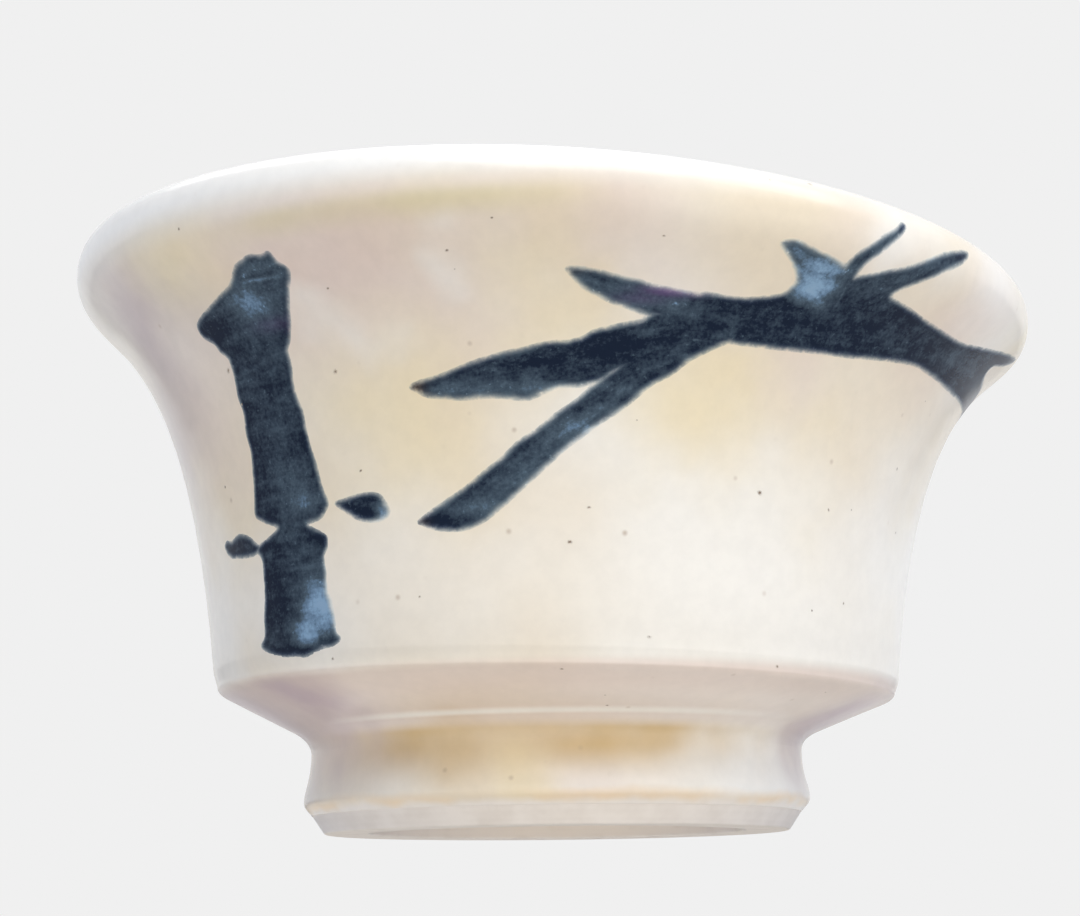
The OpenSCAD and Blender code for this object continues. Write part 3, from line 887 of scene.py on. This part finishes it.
def finish_tree(geometry, given, result):
    """Ends a tree: creases stay sharp, instances become real and the material goes on."""
    turn = put(given.tree, "GeometryNodeInputMeshEdgeAngle")[0]
    crease = calc("GREATER_THAN", turn, CREASE)
    smooth = shape("SetShadeSmooth", geometry, {"Shade Smooth": True})
    sharp = shape(
        "SetShadeSmooth", smooth, {"Selection": crease, "Shade Smooth": False}, domain="EDGE"
    )
    real = shape("RealizeInstances", sharp)
    coated = shape("SetMaterial", real, {"Material": given["Material"]})
    feed(result.inputs["Geometry"], coated)
    return given.tree


@made_once("node_groups", "Throw on the wheel")
def throwing_tree(name):
    """Tree that throws an outline round the leaning cup, as a potter's wheel does."""
    tree, given, result = shaping_group(name, {"Sides": "Int", **LEAN_INPUTS})
    outline = given["Geometry"]
    rows = put(tree, "GeometryNodeAttributeDomainSize", {"Geometry": outline})["Point Count"]
    columns = given["Sides"] + 1
    grid = put(tree, "GeometryNodeMeshGrid", {"Vertices X": rows, "Vertices Y": columns})["Mesh"]
    index = put(tree, "GeometryNodeInputIndex")[0]
    row = calc("FLOOR", (index + 0.5) / columns)
    azimuth = (index - row * columns) * TURN / given["Sides"]
    point = parts(shape(
        "SampleIndex", outline, {"Value": position(tree), "Index": row}, data_type="FLOAT_VECTOR"
    ))
    place = on_leaning_wall(given, point["X"], azimuth, point["Z"])
    thrown = shape("SetPosition", grid, {"Position": place})
    closed = shape("MergeByDistance", thrown, {"Distance": MERGE_GAP})
    return finish_tree(shape("FlipFaces", closed), given, result)


@made_once("node_groups", "Wrap on the wall")
def wrapping_tree(name):
    """Tree that wraps a flat sheet round the leaning wall, as the brush does."""
    tree, given, result = shaping_group(name, LEAN_INPUTS)
    flat = parts(position(tree))
    place = on_leaning_wall(given, tagged(tree, "radius") + flat["Y"], flat["X"], flat["Z"])
    return finish_tree(shape("SetPosition", given["Geometry"], {"Position": place}), given, result)


@made_once("node_groups", "Iron specks")
def speck_tree(name):
    """Tree that seats a small flat grain at each point, and at more scattered over the glaze."""
    tree, given, result = shaping_group(name, {
        "Glaze": "Object", "Specks per square metre": "Float", "Seed": "Int", "Breadth": "Float",
    })
    glaze = put(tree, "GeometryNodeObjectInfo", {"Object": given["Glaze"]})["Geometry"]
    normal = put(tree, "GeometryNodeInputNormal")[0]
    outward = vector_calc("MULTIPLY", position(tree), (1, 1, 0))
    seen = calc("GREATER_THAN", vector_calc("DOT_PRODUCT", outward, normal), 0)
    scattered = put(tree, "GeometryNodeDistributePointsOnFaces", {
        "Mesh": glaze, "Selection": seen, "Density": given["Specks per square metre"],
        "Seed": given["Seed"]
    })["Points"]
    share = put(tree, "FunctionNodeRandomValue", {"Min": 0.35, "Max": 0.8, "Seed": 3}).first()
    points = put(tree, "GeometryNodeJoinGeometry")
    for source in (
        tag(scattered, "breadth", share * given["Breadth"]),
        shape("MeshToPoints", given["Geometry"], {"Radius": 0}),
    ):
        feed(points.node.inputs[0], source)
    facing = put(
        tree, "GeometryNodeSampleNearestSurface", {"Mesh": glaze, "Value": normal},
        data_type="FLOAT_VECTOR"
    )["Value"]
    seat = put(tree, "GeometryNodeProximity", {"Geometry": glaze}, target_element="FACES")
    seated = shape("SetPosition", points[0], {"Position": seat["Position"]})
    ball = put(tree, "GeometryNodeMeshIcoSphere", {"Radius": 0.5, "Subdivisions": 2})["Mesh"]
    marked = tag(ball, "from_middle", from_axis(position(tree), 2))
    grains = shape("InstanceOnPoints", seated, {
        "Instance": shape("Transform", marked, {"Scale": Vector(GRAIN_SHAPE)}),
        "Rotation": put(tree, "FunctionNodeAlignRotationToVector", {"Vector": facing})[0],
        "Scale": tagged(tree, "breadth")
    })
    return finish_tree(grains, given, result)


def add_object(name, data):
    made = bpy.data.objects.new(name, data)
    bpy.context.scene.collection.objects.link(made)
    return made


def run_tree(name, mesh, tree, values):
    """Runs a tree on a mesh and returns the finished piece as a plain mesh object."""
    piece = add_object(name, mesh)
    modifier = piece.modifiers.new(tree.name, "NODES")
    modifier.node_group = tree
    for socket in tree.interface.items_tree:
        if socket.in_out == "INPUT" and socket.name in values:
            modifier[socket.identifier] = values[socket.name]
    bpy.context.view_layer.update()
    evaluated = piece.evaluated_get(bpy.context.evaluated_depsgraph_get())
    finished = bpy.data.meshes.new_from_object(evaluated)
    piece.modifiers.clear()
    piece.data = finished
    finished.name = name
    return piece


def settle(piece, slot, *nodes):
    """Attaches a piece to the body it rides on and hides the CAD nodes that it stands for. The slot is
    not used.
    """
    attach(piece, BODY)
    if nodes:
        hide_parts(*nodes)


def throw(name, outline, sides, form, material, slot, node):
    """One thrown piece, which stands for its CAD node. Its outline becomes points and edges,
    with the radius as x and the height as z."""
    mesh = bpy.data.meshes.new(name)
    edges = [(i, i + 1) for i in range(len(outline) - 1)]
    mesh.from_pydata([(radius, 0, height) for radius, height in outline], edges, [])
    values = {"Sides": sides, "Material": material, **lean_values(form)}
    settle(run_tree(name, mesh, throwing_tree(), values), slot, node)


# Materials

def new_material(name):
    material = bpy.data.materials.new(name)
    material.use_nodes = True
    tree = material.node_tree
    return material, tree, tree.nodes["Principled BSDF"]


def object_place(tree):
    return put(tree, "ShaderNodeTexCoord")["Object"]


def stored(tree, name, output="Vector"):
    """What the piece's mesh stores under a name."""
    return put(tree, "ShaderNodeAttribute", attribute_name=name)[output]


def finish_surface(shader, colour_now, roughness, relief, strength):
    """Gives a shader its colour, its roughness and its fine relief."""
    feed(shader.inputs["Base Color"], colour_now)
    shader.inputs["Roughness"].default_value = roughness
    inputs = {"Strength": strength, "Distance": RELIEF_DEPTH, "Height": relief}
    feed(shader.inputs["Normal"], put(relief.tree, "ShaderNodeBump", inputs)["Normal"])


# Clouds in the glaze that the front shows: azimuth in degrees, height and reach in millimetres,
# colour and strength. The second table holds those below the shoulder. Many are painted light
# and shade: the paler and whiter clouds paint light on the lower wall, its right side and the
# foot, and the pink and duller pink clouds paint shade on the flare and the sides of the cone.
CLOUDS = [
    (-30, 34, 11, "blush", 0.75), (-12, 31, 9, "blush", 0.5), (-60, 27, 9, "blush", 0.45),
    (20, 25.5, 8, "straw", 0.7), (-1, 36, 7, "straw", 0.4), (-20, 25, 11, "straw", 0.6),
    (2, 31, 8, "straw", 0.55), (45, 38, 6, "milk", 0.5), (-68, 13, 11, "milk", 0.95),
    (30, 15, 15, "milk", 0.9), (60, 17, 14, "milk", 0.8), (-12, 15, 9, "milk", 0.5),
    (-12.4, 36.2, 2.6, "milk", 0.4), (-11.5, 34.4, 2.6, "milk", 0.45), (-10.7, 32.9, 2.4, "milk", 0.4),
    (-31.4, 32, 3, "milk", 0.45), (-27, 30.7, 3, "milk", 0.45), (-22, 29.4, 2.6, "milk", 0.35),
    (34, 30, 6, "blush", 0.35), (58, 34, 9, "blush", 0.5), (-64, 33.5, 9, "mauve", 0.72),
    (-52, 34.5, 7, "khaki", 0.28), (-74, 27, 9, "mauve", 0.45), (-48, 31, 6, "mauve", 0.25),
    (78, 18, 14, "crest", 0.8), (60, 37.5, 6, "crest", 0.5), (38, 38, 4.5, "crest", 0.45),
]
UNDER_CLOUDS = [
    (-24, 4.8, 4.5, "ochre", 0.4), (-6, 2.4, 4.5, "straw", 0.5), (42, 2.6, 7.5, "milk", 0.95),
    (62, 2.4, 5, "milk", 0.7), (-50, 8.2, 8, "mauve", 1), (-78, 8.2, 11, "mauve", 0.85),
    (72, 7.6, 7.5, "mauve", 1),
]


@made_once("node_groups", "Cream glaze")
def cream_glaze(name, form, finish):
    """Group with the colour and the fine relief of the cream glaze, on Object coordinates; its colour
    also holds painted light and shade.
    """
    tree, _, result = group(name, "ShaderNodeTree", {}, {"Colour": "Color", "Relief": "Float"})
    wall = Wall(form)
    place = object_place(tree)
    side, height = parts(place)["X"], parts(place)["Z"]
    radius = from_axis(place)
    joint, edge, waist = form.foot_height, form.edge_height, form.waist_radius
    cone_top = form.shoulder_height - form.bevel_height
    lip = lip_height(form)

    away = vector_calc("SUBTRACT", noise(place, 160, output="Color"), (0.5, 0.5, 0.5))
    wandering = vector_calc("ADD", place, vector_calc("MULTIPLY", away, [8 * MM] * 3))

    def cloud(azimuth, level, reach, name, strength):
        """A soft spot, whose share falls to 0 at its reach."""
        centre = tuple(wall.place(math.radians(azimuth), level * MM))
        apart = vector_calc("DIVIDE", vector_calc("SUBTRACT", wandering, centre), [reach * MM] * 3)
        return ramp(vector_calc("LENGTH", apart), 0, 1, 1, 0) * strength, name

    layers = []
    for scale, name, start in ((38, "blush", 0.52), (47, "straw", 0.55)):
        moved = vector_calc("ADD", place, (scale, scale, scale))
        layers.append((ramp(noise(moved, scale, 3), start, 0.8) * 0.7, name))
    layers += [cloud(*spot) for spot in CLOUDS]

    # Painted shade under the shoulder, where the cone faces down.
    beneath = rise(height, joint, 0.4, 1.3) * rise(height, cone_top, -2, -1, 0.52, 0.7)
    # The waist of the foot: glaze pooled thick there and partly painted shade under the shoulder's
    # overhang, stronger in front.
    pooled = (
        rise(height, joint, -3, -0.3) * rise(height, joint, 0.6, 1.4, 1, 0)
        * ramp(noise(place, 110), 0.3, 0.65, 0.55, 0.9)
    )
    # A painted highlight: a pale line across the front at the top of the fillet, where the glaze would
    # mirror a lamp.
    painted_highlight_arc = rise(height, joint, 1.45, 1.68) * rise(height, joint, 1.7, 2, 0.75, 0)
    for start, end in ((-17, -9), (18, 7)):
        window = rise(side, 0, start, end)
        pooled = pooled * (0.3 + window * 0.7)
        painted_highlight_arc = painted_highlight_arc * window
    under = rise(height, cone_top, -0.4, 0.5, 1, 0) * rise(radius, waist, -1.6, -0.8)
    low_layers = [(beneath, "biscuit"), (pooled, "ochre"), *(cloud(*c) for c in UNDER_CLOUDS)]
    layers += [(share * under, name) for share, name in low_layers]
    layers.append((painted_highlight_arc, "milk"))

    # A khaki band just below the lip's widest place, on the left half of the front.
    stain = 0.25 + noise(place, 150) * 0.8
    for value, base, start, end in (
        (height, lip, -2.3, -0.8), (height, lip, 0.3, -0.7), (side, 0, -24, -16), (side, 0, 5, -3),
    ):
        stain = stain * rise(value, base, start, end)
    layers.append((stain, "khaki"))
    # Painted light: the top of the lip is whitened, where light from above falls on it.
    for start, end, share, name in ((-1, 1, 0.65, "milk"), (0.2, 1.9, 0.95, "crest")):
        layers.append((rise(height, lip, start, end, 0, share), name))

    cells = put(tree, "ShaderNodeTexVoronoi", {"Vector": place, "Scale": 420, "Randomness": 1})
    pick = step("ShaderNodeSeparateColor", cells["Color"])
    freckle = ramp(cells["Distance"], 0, 0.12, 1, 0) * ramp(pick, 0.4, 1, 0.05, 0.7)
    wavering = height + (noise(place, 260, 3) - 0.5) * (1.2 * MM)
    thin = rise(wavering, edge, -0.2, 0.6, 1, 0) * ramp(noise(place, 130, 3), 0.35, 0.65, 0.2, 0.9)
    bare = rise(wavering, edge, -0.7, -0.1, 1, 0)
    layers += [(freckle, "freckle"), (thin, "peach"), (bare, "clay")]

    colour_now = blend(ramp(noise(place, 55, 1.5), 0.3, 0.75), finish.cream, finish.milk)
    for share, name in layers:
        colour_now = blend(share, colour_now, getattr(finish, name))
    mottle = ramp(noise(place, 900, 3, 0.6), 0.25, 0.75, 0.975, 1.015)
    grey = step("ShaderNodeCombineColor", mottle, mottle, mottle)
    feed(result.inputs["Colour"], blend(1, colour_now, grey, "MULTIPLY"))
    feed(result.inputs["Relief"], noise(place, 420) * 0.7 + noise(place, 1600) * 0.3)
    return tree


def glaze_layer(tree, form, finish):
    return put(tree, "ShaderNodeGroup", node_tree=cream_glaze(form, finish))


def finish_glazed(shader, finish, colour_now, glaze, index=GLAZE_INDEX):
    """Gives a shader the gloss of the glaze over a colour."""
    finish_surface(shader, colour_now, finish.gloss, glaze["Relief"], strength=0.1)
    shader.inputs["IOR"].default_value = index


@made_once("materials", "fired_glaze")
def fired_glaze(name, form, finish):
    material, tree, shader = new_material(name)
    glaze = glaze_layer(tree, form, finish)
    finish_glazed(shader, finish, glaze["Colour"], glaze)
    return material


@made_once("materials", "ink_in_glaze")
def ink_in_glaze(name, form, finish):
    """Brush pigment in the glaze: grainy and feathered at its edges, streaked by the bristles
    and paler where it was thinned."""
    material, tree, shader = new_material(name)
    glaze = glaze_layer(tree, form, finish)
    place = object_place(tree)
    edge = stored(tree, "edge", "Fac")
    pigment = parts(stored(tree, "pigment"))
    grain = noise(place, 4200, 2, 0.6)
    clots = noise(place, 1500, 3, 0.6)
    mottle = noise(place, 650, 4, 0.6)
    streaks = noise(vector_calc("MULTIPLY", stored(tree, "bristle"), (0.3, 1.7, 1)), 1, 4, 0.6)

    thinned = pigment["X"] + 0.1
    for pattern, strength in ((mottle, 0.6), (streaks, 0.6), (clots, 0.45), (grain, 0.5)):
        thinned = thinned + (pattern - 0.5) * strength
    thinned = thinned + ramp(noise(place, 3600, 1), 0.66, 0.8, 0, 0.25)
    thinned = thinned - ramp(edge, 0.1, 0.3) * ramp(edge, 0.35, 0.8, 1, 0) * 0.05
    thinned = thinned + ramp(edge, -0.3, 0.3, 0.25, 0)
    tones = put(tree, "ShaderNodeValToRGB", {"Fac": thinned})
    stops = tones.node.color_ramp.elements
    stops[0].position, stops[0].color = 0.0, finish.ink
    stops[1].position, stops[1].color = 1.0, finish.wash
    stops.new(0.5).color = finish.slate
    colour_now = blend(pigment["Y"], tones["Color"], finish.purple)
    colour_now = blend(pigment["Z"], colour_now, finish.brown)

    ragged = edge
    for pattern, reach in ((grain, 0.28), (clots, 0.4)):
        ragged = ragged + (pattern - 0.5) * reach
    ragged = ragged - ramp(thinned, 0.3, 1, 0, 0.15)
    cover = ramp(ragged, -0.24, 0.46) * (1 - ramp(thinned, 0.5, 1.2, 0, 0.2))
    filtered = [
        step("ShaderNodeGamma", layer, share)
        for layer, share in ((colour_now, cover), (glaze["Colour"], 1 - cover))
    ]
    finish_glazed(shader, finish, blend(1, *filtered, "MULTIPLY"), glaze, INK_INDEX)
    shader.inputs["Specular Tint"].default_value = finish.sheen
    return material


@made_once("materials", "bare_clay")
def bare_clay(name, finish):
    """Bare fired clay with fine turning marks, grains and a dry surface."""
    material, tree, shader = new_material(name)
    place = object_place(tree)
    marks = noise(join(from_axis(place), 0, parts(place)["Z"]), 900)
    shade = marks * 0.5 + noise(place, 520, 3) * 0.5
    colour_now = blend(ramp(shade, 0.58, 0.36), finish.clay, finish.clay_shade)
    colour_now = blend(ramp(noise(place, 140), 0.4, 0.7, 0, 0.5), colour_now, finish.clay)
    finish_surface(shader, colour_now, roughness=0.82, relief=shade, strength=0.12)
    return material


@made_once("materials", "iron_speck")
def iron_speck(name, form, finish):
    """Iron burnt into the glaze: dark in the middle of a speck and fading into the glaze."""
    material, tree, shader = new_material(name)
    glaze = glaze_layer(tree, form, finish)
    blotch = noise(object_place(tree), 5000) - 0.5
    faded = ramp(stored(tree, "from_middle", "Fac") + blotch, 0, 0.9)
    finish_glazed(shader, finish, blend(faded, finish.iron, glaze["Colour"]), glaze)
    return material


# Stage

CAMERA_PLACE = (0.0, -179.97, -5.92)
CAMERA_RIGHT = (0.99991609, 0.00722209, -0.01075382)
CAMERA_UP = (0.01189224, -0.18264546, 0.98310692)
SENSOR = 36.0
FLOOR_SIZE = 6.0
FLOOR_DROP = 0.02 * MM
FLOOR_GAP = 15 * MM
LAMP_AIM = (0.0, 0.0, 0.02)
# The lamps: place and size in metres, and whether the glaze mirrors them. Their powers are
# settings of the stage.
LAMPS = {
    "key": ((0.24, -0.36, 0.72), (1.20, 0.60), True),
    "fill": ((0.50, -0.54, 0.30), (0.30, 0.24), False),
    "front": ((-0.40, -0.68, 0.055), (0.80, 0.10), False),
    "rim": ((-0.12, 0.34, 0.56), (0.50, 0.30), True),
    "low": ((0.0, -0.36, -0.34), (0.80, 0.06), False),
    "under": ((0.0, 0.108, -0.225), (0.20, 0.03), False),
}


def see_through_below(stage):
    """Floor material: pale from above, clear from below, where the camera looks up, and clear
    to rays from the foot that rests on it, so that light reaches the resting face."""
    material, tree, shader = new_material("studio_floor")
    shader.inputs["Base Color"].default_value = stage.floor
    shader.inputs["Roughness"].default_value = 0.9
    clear = put(tree, "ShaderNodeBsdfTransparent")[0]
    below = put(tree, "ShaderNodeNewGeometry")["Backfacing"]
    near = calc("LESS_THAN", put(tree, "ShaderNodeLightPath")["Ray Length"], FLOOR_GAP)
    seen = step("ShaderNodeMixShader", calc("MAXIMUM", below, near), Flow(shader.outputs[0]), clear)
    feed(tree.nodes["Material Output"].inputs["Surface"], seen)
    return material


def lay_floor(stage):
    half = FLOOR_SIZE / 2
    mesh = bpy.data.meshes.new("floor")
    corners = [(-half, -half), (half, -half), (half, half), (-half, half)]
    mesh.from_pydata([(x, y, -FLOOR_DROP) for x, y in corners], [], [[0, 1, 2, 3]])
    mesh.materials.append(see_through_below(stage))
    add_object("floor", mesh)


def light_world(stage):
    """Soft light from all round, with the backdrop's colour where a ray sees it directly."""
    world = bpy.data.worlds.new("studio")
    bpy.context.scene.world = world
    world.use_nodes = True
    tree = world.node_tree
    tree.nodes.clear()
    path = put(tree, "ShaderNodeLightPath")
    mirrored = calc("MAXIMUM", path["Is Glossy Ray"], path["Is Transmission Ray"])
    direct = calc("MAXIMUM", path["Is Camera Ray"], mirrored)
    aim = parts(put(tree, "ShaderNodeTexCoord")["Generated"])
    deep = ramp(aim["Y"], -0.5, 0.5, stage.studio, 1)
    side = ramp(calc("ABSOLUTE", aim["X"]), 0.3, 0.95)
    tint = blend(side, stage.plain_light, stage.side_light)
    lit = step("ShaderNodeBackground", tint, stage.ambient * (0.6 + side * 1.15))
    brightness = calc("MAXIMUM", path["Is Camera Ray"], deep)
    seen = step("ShaderNodeBackground", stage.backdrop, brightness)
    output = put(tree, "ShaderNodeOutputWorld")
    feed(output.node.inputs["Surface"], step("ShaderNodeMixShader", direct, lit, seen))


def hang_lamps(stage):
    for name, (place, size, mirrored) in LAMPS.items():
        light = bpy.data.lights.new(name, "AREA")
        light.shape = "RECTANGLE"
        light.size, light.size_y = size
        light.energy = getattr(stage, f"{name}_power")
        lamp = add_object(name, light)
        lamp.visible_glossy = mirrored
        turn = (Vector(LAMP_AIM) - Vector(place)).to_track_quat("-Z", "Y")
        lamp.matrix_world = Matrix.Translation(place) @ turn.to_matrix().to_4x4()


def set_camera(stage):
    lens = bpy.data.cameras.new("camera")
    lens.sensor_width = SENSOR
    lens.lens = stage.lens
    lens.clip_start = 0.01
    camera = add_object("camera", lens)
    right, up = Vector(CAMERA_RIGHT), Vector(CAMERA_UP)
    turn = Matrix((right, up, right.cross(up))).transposed().to_4x4()
    camera.matrix_world = Matrix.Translation(Vector(CAMERA_PLACE) * MM) @ turn
    bpy.context.scene.camera = camera


# Operators

def chosen(context):
    """The form and the finish that are set."""
    return context.scene.guinomi_form, context.scene.guinomi_finish


class GUINOMI_OT_throw_bowl(bpy.types.Operator):
    """Throws the clay of the bowl, with the trimmed ceiling of the recess under it"""
    bl_idname = "guinomi.throw_bowl"
    bl_label = "Throw the bowl"

    def execute(self, context):
        form, finish = chosen(context)
        throw("clay_bowl", bowl_body(form), BOWL_SIDES, form, bare_clay(finish), "clay", "bowl")
        return {"FINISHED"}


class GUINOMI_OT_turn_foot(bpy.types.Operator):
    """Turns the foot ring with its resting face, chamfer and recess"""
    bl_idname = "guinomi.turn_foot"
    bl_label = "Turn the foot ring"

    def execute(self, context):
        form, finish = chosen(context)
        throw("clay_foot", foot_body(form), FOOT_SIDES, form, bare_clay(finish), "clay", "foot_ring")
        return {"FINISHED"}


class GUINOMI_OT_glaze_cup(bpy.types.Operator):
    """Glazes the cup outside, inside and on its foot"""
    bl_idname = "guinomi.glaze_cup"
    bl_label = "Glaze the cup"

    def execute(self, context):
        form, finish = chosen(context)
        material = fired_glaze(form, finish)
        coats = {"outside": outside_coat(form), "inside": inside_coat(form), "foot": foot_coat(form)}
        for name, outline in coats.items():
            throw(f"coat_{name}", outline, GLAZE_SIDES, form, material, "cream_glaze", f"glaze_{name}")
        return {"FINISHED"}


class GUINOMI_OT_brush_bamboo(bpy.types.Operator):
    """Brushes the bamboo on the wall, one stroke at a time"""
    bl_idname = "guinomi.brush_bamboo"
    bl_label = "Brush the bamboo"

    def execute(self, context):
        form, finish = chosen(context)
        wall = Wall(form)
        outlines = {name: smooth_outline(points) for name, (*_, points) in STROKES.items()}
        values = {"Material": ink_in_glaze(form, finish), **lean_values(form)}
        for order, name in enumerate(STROKES):
            sheet = stroke_sheet(name, outlines, wall, order)
            slot = "brush_wash" if name == THIN_STROKE else "brush_ink"
            settle(run_tree(f"ink_{name}", sheet, wrapping_tree(), values), slot, name)
        return {"FINISHED"}


class GUINOMI_OT_scatter_iron(bpy.types.Operator):
    """Scatters the fine specks of iron that burn through the glaze"""
    bl_idname = "guinomi.scatter_iron"
    bl_label = "Scatter iron specks"

    def execute(self, context):
        form, finish = chosen(context)
        azimuths, heights, breadths = np.array(SPECKS, float).T
        mesh = bpy.data.meshes.new("iron_specks")
        places = Wall(form).place(np.radians(azimuths), heights * MM)
        mesh.from_pydata(places.tolist(), [], [])
        store(mesh, "breadth", GRAIN_PER_SPECK * breadths * MM)
        values = {
            "Glaze": bpy.data.objects["coat_outside"], "Seed": SPECK_SEED,
            "Specks per square metre": SPECKS_PER_SQUARE_METRE, "Breadth": SPECK_BREADTH,
            "Material": iron_speck(form, finish),
        }
        settle(run_tree("iron_specks", mesh, speck_tree(), values), "clay")
        return {"FINISHED"}


class GUINOMI_OT_set_stage(bpy.types.Operator):
    """Lays the floor, hangs the lamps and places the camera"""
    bl_idname = "guinomi.set_stage"
    bl_label = "Set the stage"

    def execute(self, context):
        stage = context.scene.guinomi_stage
        context.scene.view_settings.view_transform = "Standard"
        lay_floor(stage)
        light_world(stage)
        hang_lamps(stage)
        set_camera(stage)
        return {"FINISHED"}


OPERATORS = (
    GUINOMI_OT_set_stage, GUINOMI_OT_throw_bowl, GUINOMI_OT_turn_foot, GUINOMI_OT_glaze_cup,
    GUINOMI_OT_brush_bamboo, GUINOMI_OT_scatter_iron,
)
GROUPS = {"guinomi_form": CupForm, "guinomi_finish": CupFinish, "guinomi_stage": CupStage}


class GUINOMI_PT_sidebar(bpy.types.Panel):
    """Steps and settings of the cup"""
    bl_label = "Guinomi"
    bl_idname = "GUINOMI_PT_sidebar"
    bl_space_type = "VIEW_3D"
    bl_region_type = "UI"
    bl_category = "Guinomi"

    def draw(self, context):
        for operator in OPERATORS:
            self.layout.operator(operator.bl_idname)
        for name, settings in GROUPS.items():
            box = self.layout.box()
            box.label(text=settings.__doc__)
            for key in settings.__annotations__:
                box.prop(getattr(context.scene, name), key)


def register():
    for settings in (*GROUPS.values(), *OPERATORS, GUINOMI_PT_sidebar):
        bpy.utils.register_class(settings)
    for name, settings in GROUPS.items():
        setattr(bpy.types.Scene, name, bpy.props.PointerProperty(type=settings))


def unregister():
    for name in GROUPS:
        delattr(bpy.types.Scene, name)
    for settings in reversed((*GROUPS.values(), *OPERATORS, GUINOMI_PT_sidebar)):
        bpy.utils.unregister_class(settings)


def main():
    register()
    for operator in OPERATORS:
        family, name = operator.bl_idname.split(".")
        getattr(getattr(bpy.ops, family), name)()


if __name__ == "__main__":
    main()
